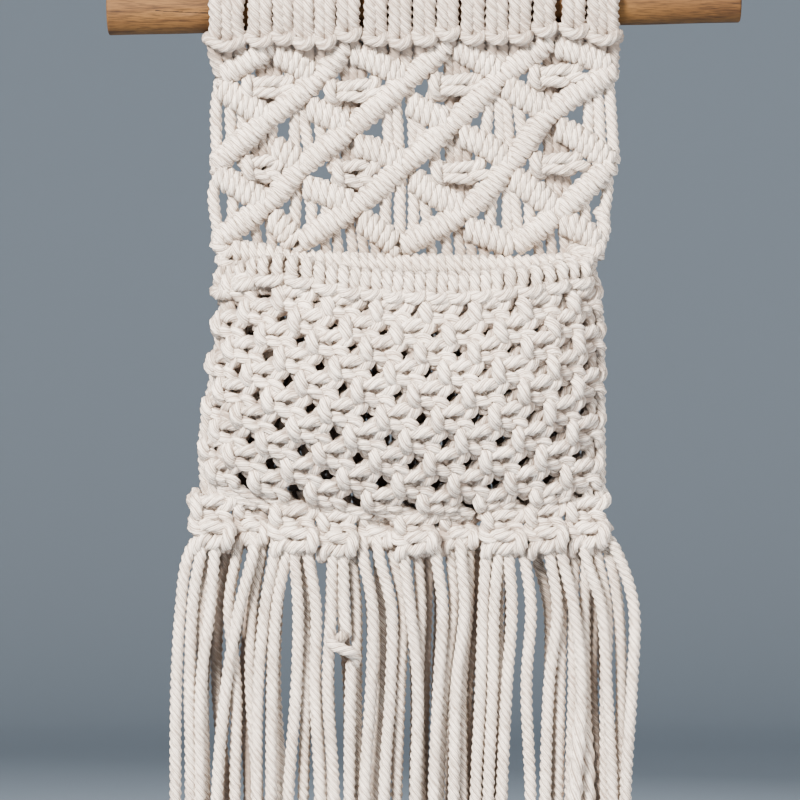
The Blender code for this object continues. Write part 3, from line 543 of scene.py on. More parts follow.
def wound_bar(route, random, lean, pitch=WIND_PITCH, radius=WIND_RADIUS, cord=WOUND_CORD, waist=0.0):
    """A cord wound round a straight one: a helix about the route that gains most of its pitch
    behind, with its turns in pairs and each a little wider or tighter. In front the turns lean
    from square across by an angle. It is drawn in by the share waist where another bar crosses,
    at the route's own points. Returns both cords."""
    path, length = smooth_route(route, pitch / 10)
    apart = np.linalg.norm(path[:, None] - np.asarray(route), axis=2).min(axis=1)
    radius = radius * (1 - waist * np.exp(-(apart / 3.4) ** 2))
    along = unit(np.gradient(path, axis=0))
    front = np.tile((0.0, 1.0, 0.0), (len(path), 1))
    above = unit(np.cross(along, front))
    above *= np.sign(above[:, 2:])
    front = unit(front - along * np.sum(front * along, axis=1, keepdims=True))
    turns = length / pitch
    knots = np.arange(0, turns[-1] + 2)
    loose = np.interp(turns, knots, random.uniform(-0.25, 0.25, len(knots)))
    angle = 2 * np.pi * (turns + 0.03 * np.sin(np.pi * turns)) + 0.3 * loose + np.pi
    rise = np.sin(angle)[:, None]
    helix = path + ((radius - 0.35) * np.cos(angle))[:, None] * front
    helix += (radius + loose * 0.6)[:, None] * rise * above
    helix += (radius * math.tan(lean) - 0.13 * pitch)[:, None] * rise * along
    return [lay_cord(helix, cord, step=1.3, lay=18.0, seed=random.random()),
            lay_cord(path[::20], CARRIER_CORD, step=3.0, seed=random.random())]


def bar_cords():
    """Every bar of the web. The ones that pass beneath arch outwards a little between the others."""
    random = np.random.default_rng(11)
    cords = []
    for chain in BARS_LEFT:
        route = np.array([crossing(row, place, BAR_DEPTH + 0.5) for row, place in chain])
        cords += wound_bar(route, random, STEEP, waist=WAIST)
    for row, place in [(row, place) for row in range(len(BARS_RIGHT)) for place in range(4)]:
        x, z = right_bar(row, place).T
        depth = BAR_DEPTH - 0.8 + np.sin(np.linspace(0, np.pi, len(x)))
        cords += wound_bar(np.column_stack([x, depth, z]), random, UPRIGHT, *UNDER_BAR)
    return cords


bars = join_cords("hitched_bars", bar_cords(), cotton_cord)
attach(bars, "root")
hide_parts("web")


# The cords inside the diamonds: in every second row they hang plain from bar to bar, and in the
# others they meet in one large square knot. They are the same cords that wind round the bars.

LOOSE_DEPTH = 3.4
LOOSE_CORDS = (
    # row of crossings above, x where the cord leaves the bars, x where it meets the next ones
    (1, -84.8, -86.4), (1, -79.6, -79.9), (1, -74.6, -75.4), (1, -53.3, -54.4), (1, -50.0, -47.2),
    (1, -43.8, -42.1), (1, -16.5, -14.2), (1, -12.6, -10.4), (1, -7.5, -4.2), (1, -2.6, 0.7),
    (1, 25.8, 25.3), (1, 29.2, 32.5), (1, 34.7, 37.0), (1, 38.7, 42.0), (1, 67.1, 68.2),
    (1, 71.6, 73.8), (1, 77.2, 79.7), (3, -85.6, -85.4), (3, -80.9, -80.5), (3, -52.2, -54.4),
    (3, -49.4, -47.2), (3, -43.3, -40.0), (3, -14.2, -15.9), (3, -8.7, -9.8), (3, -5.3, -4.8),
    (3, -1.5, 2.4), (3, 29.7, 27.5), (3, 32.5, 34.8), (3, 36.4, 39.8), (3, 41.5, 44.2),
    (3, 68.2, 68.8), (3, 77.0, 73.6),
)
CENTRE_KNOTS = (
    # row of crossings above, x and z of the knot's middle, its size, whether it is drawn out
    (0, -64.6, -35.2, 0.95, True),
    (0, -29.3, -36.8, 1.0, True),
    (0, 14.1, -34.3, 1.0, True),
    (0, 55.4, -30.4, 0.96, True),
    (2, -67.0, -69.2, 0.92, False),
    (2, -28.7, -71.2, 1.0, False),
    (2, 14.7, -70.9, 0.97, True),
    (2, 55.7, -67.2, 0.95, True),
)

# A square knot of four cords, as x across, y up and w outwards of each cord's route. The left
# cord crosses in front, turns round the right one and comes back, and the right one crosses
# behind and stands up in front as the short loop at the left.
KNOT_LEFT = (
    (-9.6, 2.6, 0.4), (-7.0, 2.0, 0.6), (-4.9, 2.7, 3.0), (-1.8, 3.1, 4.0), (1.3, 3.7, 4.2),
    (3.6, 3.5, 3.2), (5.0, 2.2, 0.6), (5.0, 0.0, -1.8), (4.0, -2.4, -0.4), (1.6, -4.1, 2.0),
    (-0.8, -3.3, 3.6), (-2.8, -2.3, 3.6), (-4.7, -1.7, 3.0), (-7.2, -0.6, 1.2), (-9.1, -0.8, 0.8),
    (-10.8, -1.9, 1.0), (-12.6, -3.4, 0.9),
)
KNOT_RIGHT = (
    (8.4, 4.6, 2.0), (8.0, 2.9, 3.0), (6.1, 1.2, 3.4), (3.6, 0.1, 1.6), (0.8, 0.2, -2.2),
    (-3.0, 2.0, -3.2), (-5.5, 4.0, -0.8), (-7.0, 4.2, 2.2), (-7.4, 2.2, 5.0), (-7.2, 0.0, 6.0),
    (-6.7, -2.2, 5.4), (-6.1, -3.8, 3.0), (-4.6, -3.9, -0.6), (-2.5, -2.6, -3.0), (0.4, -1.6, -1.6),
    (2.2, -1.5, 1.4), (3.9, -1.8, 3.0), (5.7, -2.9, 3.6), (6.8, -4.5, 3.2), (7.5, -6.6, 1.6),
)
KNOT_FILL_LEFT = ((-1.4, 2.0, -0.6), (-3.0, -1.5, 0.0), (-4.6, -4.6, 1.0))
KNOT_FILL_RIGHT = ((-0.8, 3.4, 0.4), (0.6, 0.0, 0.0), (-1.0, -5.6, 0.8))
LONG_LEFT = (
    (-10.6, 4.2, -1.0), (-8.5, 2.0, 0.6), (-5.3, 1.6, 3.2), (-1.1, 2.2, 4.3), (3.2, 2.8, 3.8),
    (6.4, 3.0, 1.6), (7.6, 1.8, -1.4), (6.6, -1.6, -0.6), (4.8, -2.4, 1.8), (2.6, -2.4, 3.4),
    (-1.1, -2.1, 4.2), (-5.3, -2.0, 3.5), (-8.6, -2.3, 1.4), (-10.8, -4.0, 0.2),
)
LONG_RIGHT = (
    (9.0, 6.0, -1.0), (9.2, 4.0, 1.2), (7.2, 2.3, 2.9), (4.4, 1.0, 1.4), (0.5, 0.8, -2.4),
    (-4.0, 2.0, -3.0), (-7.6, 3.4, -0.5), (-8.9, 3.3, 2.6), (-9.9, 1.2, 4.9), (-9.9, -1.0, 5.3),
    (-9.3, -3.0, 4.0), (-8.2, -4.0, 1.6), (-6.0, -3.6, -1.6), (-2.0, -2.0, -3.0), (1.5, -0.6, -1.5),
    (4.4, -0.3, 1.4), (7.0, -0.6, 3.2), (9.8, -0.8, 3.6), (12.6, -0.8, 1.6), (14.0, -2.4, -0.8),
)
FILLERS = (-3.8, 0.1, 4.0)  # where the other cords of a knotted diamond pass behind its knot
TUCKED = -3  # cuts a knot's route short by its last three points, which lead out sideways


def on_bars(x, row, below):
    """Height of the bars at x, along the zigzag from this row of crossings to the one below (or
    above, when below is -1)."""
    zigzag = np.array(sorted(CROSSINGS[row] + CROSSINGS[row + below]))
    for place in range(4):
        bar = right_bar(min(row, row + below), place)
        if bar[0, 0] <= x <= bar[-1, 0]:
            zigzag = bar
    return float(np.interp(x, zigzag[:, 0], zigzag[:, 1]))


def plain_cords():
    """Cords that hang from the bars above a plain diamond to the bars below it."""
    random = np.random.default_rng(23)
    cords = []
    for row, top_x, foot_x in LOOSE_CORDS:
        top, foot = on_bars(top_x, row, 1), on_bars(foot_x, row + 2, -1)
        bow = random.uniform(-1.6, 1.6) - 2.2 * (top_x < -84) + 1.2 * (top_x > 77)
        depth = LOOSE_DEPTH + random.uniform(-1.2, 0.6)
        route = [(top_x - 0.3, depth, top),
                 (top_x * 0.7 + foot_x * 0.3 + bow, depth + 0.5, top * 0.7 + foot * 0.3),
                 (top_x * 0.3 + foot_x * 0.7 + bow * 0.6, depth + 0.5, top * 0.3 + foot * 0.7),
                 (foot_x + 0.3, depth, foot)]
        # A slight painted shade on the plain cords in the diamonds.
        cords.append(lay_cord(route, 2.65, seed=random.random(), painted_shade=0.05))
    return cords


def knotted_cords():
    """The square knots in the diamonds, with the other cords of the diamond behind them from
    the bars above to the bars below."""
    random = np.random.default_rng(31)
    cords = []
    for row, x, z, size, drawn_out in CENTRE_KNOTS:
        middle = np.array((x, BAR_DEPTH - 1.6, z))
        left, right = (LONG_LEFT, LONG_RIGHT) if drawn_out else (KNOT_LEFT[:TUCKED], KNOT_RIGHT)
        for route, edge in ((left, -1), (right, 1)):
            uneven = random.uniform(-0.2, 0.2, (len(route), 3))
            local = np.array(route)[:, (0, 2, 1)] * size + uneven + middle
            above_x = x + edge * (10.0 if drawn_out else 8.0)
            above = (above_x, LOOSE_DEPTH - 1.0, on_bars(above_x, row, 1))
            whole = np.vstack([above, local, local[-1] + (0.6 * edge, -2.0, -3.0)])
            # A slight painted shade on the knot's cords.
            cords.append(lay_cord(whole, 2.7, seed=random.random(), painted_shade=0.05))
        for across in FILLERS:
            above_x, foot_x = x + across * 1.05 - 0.6, x + across * 1.1 + 0.6
            above_depth, foot_depth = 3.0 + random.uniform(-1.2, 0.8, 2)
            route = [(above_x, above_depth, on_bars(above_x, row, 1)),
                     (x + across * 0.8, 1.4 + random.uniform(-0.8, 0.8), z),
                     (foot_x, foot_depth, on_bars(foot_x, row + 2, -1))]
            # Painted shade: the cords that pass behind a knot are drawn darker.
            cords.append(lay_cord(route, 2.5, seed=random.random(), painted_shade=0.25))
    return cords


for name, cords in (("plain_cords", plain_cords()), ("diamond_knots", knotted_cords())):
    piece = join_cords(name, cords, cotton_cord)
    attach(piece, "root")
    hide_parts("web")


# The level bar that ends the diamonds, behind the pocket's mouth: every cord of the web is
# hitched on one cord that runs from side to side, and hangs on down behind the pocket.

LEVEL_BAR = (
    (-80.0, -103.0), (-66.0, -105.3), (-50.0, -108.0), (-10.0, -109.2), (32.0, -110.0), (56.0, -109.2),
    (66.0, -106.5), (72.0, -102.5),
)
LEVEL_BAR_DEPTH = 4.6
LEVEL_LEAN = math.radians(-20)
SIDE_KNOTS = (
    # x, depth and z of the turns that the outermost cords take round the bar's two ends
    ((-77.5, 2.0, -98.8), (-82.5, 6.2, -97.8), (-87.0, 6.6, -100.2), (-84.5, 7.6, -102.8),
     (-78.5, 4.0, -103.4)),
    ((-74.5, 2.5, -103.0), (-80.5, 6.4, -103.6), (-85.0, 7.2, -107.0), (-80.5, 8.2, -110.0),
     (-75.0, 4.0, -108.4)),
    ((62.0, 2.0, -98.4), (67.0, 6.0, -98.0), (73.6, 6.6, -100.3), (71.0, 7.6, -104.4), (64.5, 4.0, -104.6)),
    ((60.0, 2.0, -102.5), (65.5, 7.0, -103.4), (69.5, 8.0, -106.6), (64.5, 8.0, -109.6),
     (60.0, 4.0, -108.4)),
    ((65.5, 3.0, -106.0), (61.0, 7.0, -108.2), (59.6, 7.6, -112.4), (61.8, 6.4, -117.0),
     (65.5, 2.0, -119.0)),
    ((73.0, 2.0, -86.0), (75.2, 5.0, -91.0), (75.4, 5.6, -95.5), (73.6, 4.0, -101.0), (71.0, 2.0, -105.0)),
)
LAST_CORDS = (
    # x where each of the last cords leaves the bars of the web
    -79.0, -71.7, -65.3, -58.9, -42.7, -37.7, -31.5, -26.5, -21.5, -16.5, 2.4, 8.3, 14.1, 18.6, 23.6, 30.0,
    46.5, 52.0, 57.5, 64.0,
)


def level_bar_height(x):
    table = np.array(LEVEL_BAR)
    return float(np.interp(x, table[:, 0], table[:, 1]))


def level_bar_cords():
    """The hitched bar, and the cords that come down to it from the lowest bars of the web."""
    random = np.random.default_rng(41)
    route = np.array([(x, LEVEL_BAR_DEPTH, z) for x, z in LEVEL_BAR])
    cords = wound_bar(route, random, LEVEL_LEAN, pitch=3.6)
    cords += [lay_cord(route, 2.8, lay=13.0, seed=random.random()) for route in SIDE_KNOTS]
    for x in LAST_CORDS:
        top, foot = on_bars(x, 4, 1), level_bar_height(x)
        middle_x = x + 1.0 + random.uniform(-0.6, 0.6)
        route = [(x - 1.0, LOOSE_DEPTH, top + 1.0), (middle_x, LOOSE_DEPTH - 0.6, (top + foot) / 2),
                 (x + 2.4, LOOSE_DEPTH, foot - 1.0)]
        # Painted shade: these cords, set back under the bars of the web, are drawn darker.
        cords.append(lay_cord(route, 2.4, seed=random.random(), painted_shade=0.35))
    return cords


level_bar = join_cords("level_bar", level_bar_cords(), cotton_cord)
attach(level_bar, "root")
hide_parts("web")


# Behind the pocket the thirty-two cords of the web hang straight down, side by side, to the knots
# that close the pocket's foot. They show from behind, at the sides, and as the dark inside of the
# net, which is painted shade: their fronts are painted dark there, less so on the outer cords.

BACK_CORDS = 32
BACK_TOP = (-80.0, 70.0)
BACK_FOOT = (-91.0, 73.5)
BACK_FOOT_Z = -206.0
POCKET_SAG = 8.0  # a row of the pocket hangs this much lower in the middle


def hanging_back_cords():
    """Straight cords, evenly spread from side to side and a little out of line."""
    random = np.random.default_rng(53)
    cords = []
    for share in np.linspace(0, 1, BACK_CORDS):
        top_x = BACK_TOP[0] + (BACK_TOP[1] - BACK_TOP[0]) * share
        foot_x = BACK_FOOT[0] + (BACK_FOOT[1] - BACK_FOOT[0]) * share
        top = level_bar_height(top_x) - 1.0
        foot = BACK_FOOT_Z - POCKET_SAG * (1 - (2 * share - 1) ** 2)
        sway = random.uniform(-0.5, 0.5, 4)
        route = [(top_x, 3.4, top), (top_x + sway[0], 2.6 + sway[1], top - 22),
                 (foot_x + sway[2], 2.4 + sway[3], foot + 30), (foot_x, 2.8, foot)]
        cord = lay_cord(route, 2.9, step=1.5, seed=random.random())
        depth, height = cord["points"][..., 1], cord["points"][..., 2]
        inside = np.clip((top - 6 - height) / 8, 0, 1) * np.clip((height + 212) / 8, 0, 1)
        inside *= np.clip(14 * min(share, 1 - share), 0, 1)
        # Painted shade: the fronts of the cords inside the pocket, where it is in shade, are drawn dark.
        cord["painted_shade"] = (0.1 + 2.0 * inside * np.clip((depth - 0.6) / 1.6, 0, 1)).ravel()
        cords.append(cord)
    return cords


back_cords = join_cords("cords_behind_pocket", hanging_back_cords(), cotton_cord)
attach(back_cords, "root")
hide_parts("back_cords")


# The pocket's rim: sixteen lark's head knots side by side on one cord, which hangs from both edges
# of the web and bows forward. Its front and its knots are one bowed net, flat in the middle.

POCKET = np.array((
    # left x, right x, left z, right z, edge depth, bulge: sections from the rim down to the foot
    (-85.0, 71.5, -119.4, -116.8, 7.6, 19.0),
    (-88.0, 74.0, -136.0, -134.0, 7.6, 23.0),
    (-88.8, 74.2, -152.5, -151.0, 7.6, 24.0),
    (-89.6, 74.5, -169.0, -168.5, 7.6, 21.0),
    (-91.4, 75.0, -185.5, -186.0, 7.6, 13.0),
    (-93.5, 76.0, -202.0, -203.0, 7.0, 3.5),
))
EVEN_SPACING = 0.065  # keeps the knots of a row evenly spaced along its curve
RIM_HEADS = (
    # x and z of the rim's own cord at each of its knots
    (-80.4, -116.0), (-71.7, -112.6), (-62.3, -111.4), (-50.6, -112.0), (-40.2, -115.2), (-30.6, -116.6),
    (-21.8, -117.6), (-13.0, -118.4), (-3.9, -118.8), (5.3, -119.1), (14.1, -119.0), (22.9, -118.4),
    (32.2, -117.3), (42.3, -116.4), (52.8, -114.3), (62.0, -112.4),
)


def on_pocket(u, v, out):
    """Points of the pocket's front, moved outwards. u runs from left to right and v from the rim
    down. A row is flat in the middle and turns back at both sides: its depth falls with the
    fourth power of the way out, and its sag with the square."""
    u, v, out = np.broadcast_arrays(*np.atleast_1d(u, v, out))
    place = np.clip(v, 0, 1) * (len(POCKET) - 1)
    k = np.minimum(place.astype(int), len(POCKET) - 2)
    section = POCKET[k] + (POCKET[k + 1] - POCKET[k]) * (place - k)[:, None]
    left, right, z_left, z_right, edge, bulge = section.T
    half = (right - left) / 2
    steep = 4 * bulge / half
    way = 2 * u - 1
    across = way * (1 + EVEN_SPACING * steep**2 * (1 - np.abs(way) ** 3.2))
    slope = steep * np.abs(across) ** 3 * np.sign(across)
    long = np.hypot(slope, 1)
    x = (left + right) / 2 + half * across + out * slope / long
    depth = edge + bulge * (1 - across**4) + out / long
    z = z_left + (z_right - z_left) * u - POCKET_SAG * (1 - way**2) + np.minimum(v, 0) * -84
    return np.column_stack([x, depth, z])


RIM_HEAD = (
    # across from the middle of a knot, up from the rim's cord, outwards: its left half
    (-2.8, -10.0, 0.6), (-2.3, -5.6, 1.8), (-2.4, -1.2, 3.7), (-2.5, 2.2, 3.9), (-2.6, 4.1, 0.2),
    (-2.7, 0.6, -3.9), (-3.5, -2.6, -1.8), (-4.5, -3.3, 1.8), (-3.0, -4.7, 5.3), (0.0, -5.6, 6.4),
)


def rim_place(across, up, out):
    """Points by the rim's cord, at x across and turned outwards with the pocket's mouth."""
    fine = np.linspace(-0.02, 1.02, 105)
    u = np.interp(across, on_pocket(fine, 0.0, 0.0)[:, 0], fine)
    place = on_pocket(u, 0.0, out)
    heads = np.array(RIM_HEADS)
    place[:, 2] = np.interp(across, heads[:, 0], heads[:, 1]) + up
    return place


def rim_cords():
    """The rim's own cord, and sixteen folded cords round it. A knot's route is its left half
    followed by the same points mirrored."""
    random = np.random.default_rng(61)
    ends = np.array(((-86.0, -116.0), *RIM_HEADS, (70.0, -110.0)))
    own = rim_place(ends[:, 0], 0.0, 1.0)
    cords = [lay_cord(own, 2.2, step=1.5, seed=0.3)]
    half = np.array(RIM_HEAD)
    whole = np.vstack([half, half[-2::-1] * (-1, 1, 1)])
    gaps = np.gradient(np.array(RIM_HEADS)[:, 0])
    for (x, z), gap in zip(RIM_HEADS, gaps):
        across, up, out = (whole + random.uniform(-0.3, 0.3, whole.shape)).T
        wide = gap / 9.6
        place = rim_place(x + across * wide, up, out)
        cords.append(lay_cord(place, 2.75, lay=13.0, seed=random.random()))
    return cords


rim = join_cords("pocket_rim_knots", rim_cords(), cotton_cord)
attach(rim, "root")
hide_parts("pocket_rim")


# The pocket's front is a net of alternating square knots, ten rows of eight or seven, tied with the
# thirty-two cords that hang from the rim. From the third row on, small gaps show between them.

ROW_SHARES = (0.030, 0.130, 0.222, 0.326, 0.430, 0.543, 0.650, 0.757, 0.862, 0.962)  # share of the way down
NET_WIDE = 184.0
NET_LEAN = (0.043, -0.0158)  # how far right the knots at the left lie, as a share of the width, in
# the top row, and what is added to that in each row below
NET_TILT = ((0.0, 6.5), (0.25, 2.2), (0.5, -1.2), (1.0, -3.2))  # how much higher a row lies, at
# shares of the way from the left
NET_EDGE = (0.024, 0.6)  # near the left edge a point is drawn in to the first of these plus the
# second times its own share of the width
NET_HIGH = 84.4
NET_CORDS = 32
KNOT_ROUTES = (KNOT_LEFT, KNOT_FILL_LEFT, KNOT_FILL_RIGHT, KNOT_RIGHT)


def net_cords():
    """Thirty-two cords from the rim to the foot. In each row the cord is one of the four of a
    knot, or hangs straight at the net's edge in the rows of seven."""
    random = np.random.default_rng(71)
    lean = random.uniform(-0.06, 0.06, (len(ROW_SHARES), 17))
    size = random.uniform(0.96, 1.05, (len(ROW_SHARES), 17))
    cords = []
    for cord in range(NET_CORDS):
        u_own = (cord + 0.5) / NET_CORDS
        u, v, out = [u_own], [-0.05], [0.0]
        for row, middle_v in enumerate(ROW_SHARES):
            shift = row % 2
            group, role = divmod(cord - 2 * shift, 4)
            if shift and not 0 <= group <= 6:
                tilt = np.interp(u_own, *np.array(NET_TILT).T) / NET_HIGH
                u += [u_own, u_own]
                v += [middle_v - tilt - 0.03, middle_v - tilt + 0.03]
                out += [1.0, 1.0]
                continue
            column = 2 * group + 1 + shift
            route = np.array(KNOT_ROUTES[role]) * size[row, column]
            route += random.uniform(-0.2, 0.2, route.shape)
            if role == 0 and (row == len(ROW_SHARES) - 1 or column < 2):
                route = route[:TUCKED]
            across = route[:, 0] - lean[row, column] * route[:, 1]
            up = route[:, 1] + lean[row, column] * route[:, 0]
            own = column / 16
            own += (NET_LEAN[0] + NET_LEAN[1] * row) * (1 - own) * min(1.0, own / 0.15)
            tilt = np.interp(own, *np.array(NET_TILT).T)
            u += list(own + across / NET_WIDE)
            v += list(middle_v - (up + tilt) / NET_HIGH)
            out += list(route[:, 2])
        u.append(u_own)
        v.append(1.03)
        out.append(0.0)
        u = np.maximum(u, NET_EDGE[0] + NET_EDGE[1] * np.array(u))
        route = on_pocket(u, np.array(v), np.array(out))
        route[-1, 2] -= 4.0
        radius = 2.5 + 0.08 * np.clip(out, 0, 6) + 0.4 * np.clip(1 - np.array(v) / 0.2, 0, 1)
        cords.append(lay_cord(np.column_stack([route, radius]), step=1.2, lay=17.0, seed=random.random()))
    return cords


strands = net_cords()
for name, half in (("pocket_net_left", strands[:16]), ("pocket_net_right", strands[16:])):
    piece = join_cords(name, half, cotton_cord)
    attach(piece, "root")
    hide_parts("pocket")


# Ten short columns of square knots close the pocket's foot. They tie the cords of the net and those
# behind it together, two knots to a column, some in front and some set back.

COLUMNS = (
    # x, width, top z, bottom z, depth
    (-88.0, 18.5, -205.5, -227.5, 8.5),
    (-71.9, 15.0, -207.0, -226.0, 4.5),
    (-54.0, 21.0, -209.5, -229.0, 10.0),
    (-36.0, 17.0, -212.0, -230.5, 9.0),
    (-19.8, 15.5, -213.0, -226.5, 4.5),
    (-3.3, 18.5, -213.5, -229.5, 9.5),
    (14.8, 17.0, -213.0, -227.5, 5.0),
    (33.3, 19.5, -211.5, -229.5, 10.0),
    (50.9, 17.5, -209.0, -229.0, 9.5),
    (68.0, 18.0, -206.1, -228.0, 7.5),
)


def column_cords():
    """Each column's four cords through two square knots, one below the other, with two more
    cords straight down inside. The lower knot is the upper one's mirror image and stands out."""
    random = np.random.default_rng(83)
    cords = []
    for x, width, top, bottom, depth in COLUMNS:
        pitch = (top - bottom) / 2
        grow = np.array((width / 19.5, pitch / 10.6, 0.95))
        lean = math.radians(random.uniform(-6, 6))
        for role in range(4):
            upper, lower = KNOT_ROUTES[role], KNOT_ROUTES[3 - role]
            upper = np.array(upper[:TUCKED] if role == 0 else upper)
            lower = np.array(lower[:TUCKED] if role == 3 else lower) * (-1, 1, 1)
            upper = upper + random.uniform(-0.25, 0.25, upper.shape) - (0, 0, 1.2)
            lower = lower + random.uniform(-0.25, 0.25, lower.shape) - (0, 10.2, -1.0)
            above, below = (-7.0 + 4.6 * role, 7.0, -4.0), (-6.0 + 4.0 * role, -16.5, -3.5)
            across, up, out = (np.vstack([above, upper, lower, below]) * grow).T
            height = top - pitch / 2 + up + across * math.sin(lean)
            route = np.column_stack([x + across, depth + out, height])
            radius = 2.5 + 0.09 * np.clip(out, 0, 6)
            cords.append(lay_cord(np.column_stack([route, radius]), lay=16.0, seed=random.random()))
        for offset in (-3.0, 3.0):
            route = [(x + offset, depth - 3.5, top + 6), (x + offset, depth - 4.0, bottom)]
            # Painted shade: the two cords inside a column are drawn darker.
            cords.append(lay_cord(route, 2.4, seed=random.random(), painted_shade=0.2))
    return cords


columns = join_cords("closing_knots", column_cords(), cotton_cord)
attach(columns, "root")
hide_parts("fringe")


# The fringe: sixty-four cord ends that hang free from the closing knots, some in front of others,
# cut nearly level at the foot. One has a small knot, and two have come unlaid near the right.

FRINGE_ROOT = (-219.0, 7.5)  # z and depth where a strand leaves the knots
FRINGE_LEVELS = (-230.0, -253.0, -286.0, -330.0)
FRINGE_END = -430.0
FRINGE_UNEVEN = 3.0  # the cut ends lie this much higher or lower
FRINGE_DRIFT = 0.4  # how far a strand keeps its last slant down to its end
FRINGE_DEPTHS = (11.5, 6.6, 1.7, -3.2)
# Painted shade: strands in the layers further back are drawn darker.
LAYER_PAINTED_SHADES = (0.0, 0.1, 0.25, 0.25)
# This list repeats the one in part.py. It was not typed: a program outside both scripts worked it
# out, by interpolation and a change to millimetres, from places read off the photograph, and
# wrote it down together with places given for some of the rows.
FRINGE = (
    # layer, cords, x at each level
    (0, 1, -98.0, -101.6, -103.1, -102.9),
    (0, 2, -93.0, -96.0, -98.0, -97.9),
    (1, 1, -89.3, -92.9, -92.6, -91.2),
    (0, 2, -87.2, -89.6, -92.6, -93.0),
    (2, 1, -82.7, -85.2, -86.3, -82.4),
    (1, 1, -78.2, -80.8, -78.7, -78.2),
    (0, 2, -71.3, -76.8, -82.4, -85.8),
    (2, 1, -69.2, -73.2, -75.1, -73.7),
    (1, 1, -67.9, -70.9, -71.7, -69.2),
    (0, 2, -62.4, -67.0, -69.6, -69.9),
    (0, 2, -57.4, -62.0, -63.5, -63.8),
    (2, 1, -59.2, -60.6, -61.5, -58.9),
    (0, 1, -54.0, -53.1, -53.2, -56.1),
    (1, 1, -50.2, -49.2, -48.7, -50.6),
    (0, 2, -48.2, -45.5, -45.1, -42.6),
    (0, 2, -38.1, -39.0, -39.7, -37.8),
    (0, 2, -33.7, -34.1, -32.4, -31.4),
    (1, 1, -29.9, -28.1, -27.8, -28.5),
    (0, 2, -25.4, -22.0, -22.3, -24.7),
    (2, 1, -19.1, -17.4, -17.6, -20.5),
    (0, 2, -18.8, -13.9, -13.3, -16.5),
    (1, 1, -12.9, -9.4, -9.2, -11.5),
    (0, 2, -8.4, -6.0, -3.0, -3.3),
    (1, 1, -2.4, -1.9, -2.7, -1.5),
    (2, 1, 1.9, 2.1, 0.9, -0.1),
    (0, 2, 5.0, 7.0, 5.2, 4.7),
    (1, 1, 11.3, 11.8, 8.3, 6.1),
    (0, 2, 15.4, 17.3, 13.1, 11.8),
    (1, 1, 18.9, 18.2, 16.6, 16.4),
    (2, 1, 21.3, 21.3, 19.2, 17.5),
    (0, 2, 25.8, 24.4, 23.0, 20.8),
    (1, 1, 26.7, 25.2, 25.1, 24.2),
    (0, 1, 30.8, 29.6, 28.5, 26.7),
    (2, 1, 31.6, 31.9, 31.2, 32.3),
    (0, 2, 35.2, 37.0, 34.5, 31.6),
    (0, 1, 41.8, 43.8, 43.4, 44.5),
    (2, 1, 47.0, 52.0, 52.0, 52.0),
    (0, 1, 52.4, 55.3, 52.6, 49.9),
    (1, 1, 57.8, 57.4, 56.8, 56.0),
    (0, 2, 57.4, 62.6, 66.0, 63.5),
    (1, 1, 63.0, 62.6, 61.9, 61.4),
    (1, 1, 68.0, 67.7, 68.0, 68.5),
    (2, 1, 69.3, 70.5, 70.9, 72.8),
    (0, 2, 67.1, 73.9, 75.5, 78.4),
    (1, 1, 72.3, 76.6, 76.6, 76.0),
    (1, 1, 77.4, 82.0, 81.8, 81.2),
    (0, 1, 80.7, 86.7, 85.9, 84.3),
)
OVERHAND_ROW = 16  # the strand with the overhand knot, and the knot's height
OVERHAND_Z = -267.5
OVERHAND = (
    # across, up and outwards from the middle of the knot
    (0.5, 10.0, 0.0), (1.2, 5.5, -1.0), (-1.6, 2.6, -2.2), (-4.8, 1.6, 0.4), (-4.6, 0.2, 3.8),
    (-1.2, -1.2, 5.2), (2.4, -2.6, 4.6), (4.8, -4.4, 2.2), (4.6, -7.6, 0.4), (3.0, -12.0, 0.0),
)
UNLAID = {39: -292.0, 41: -300.0}  # rows of the fringe whose plies have come apart below this z
ROOT_SPREAD = (-90.0, 73.0)  # a strand's first point lies between these places across


def fringe_route(places, depth):
    """Points of one strand: from inside the knots, through its places, to its cut end."""
    root_z, root_depth = FRINGE_ROOT
    drift = (places[-1] - places[-2]) * FRINGE_DRIFT
    trim = FRINGE_UNEVEN * math.sin(places[0] * 1.7)
    end = (places[-1] + drift, depth, FRINGE_END + trim)
    between = (places[-1] + drift * 0.4, depth, (FRINGE_LEVELS[-1] + end[2]) / 2)
    root = (min(max(places[0], ROOT_SPREAD[0]), ROOT_SPREAD[1]), root_depth, root_z)
    return [root, *((x, depth, z) for x, z in zip(places, FRINGE_LEVELS)), between, end]


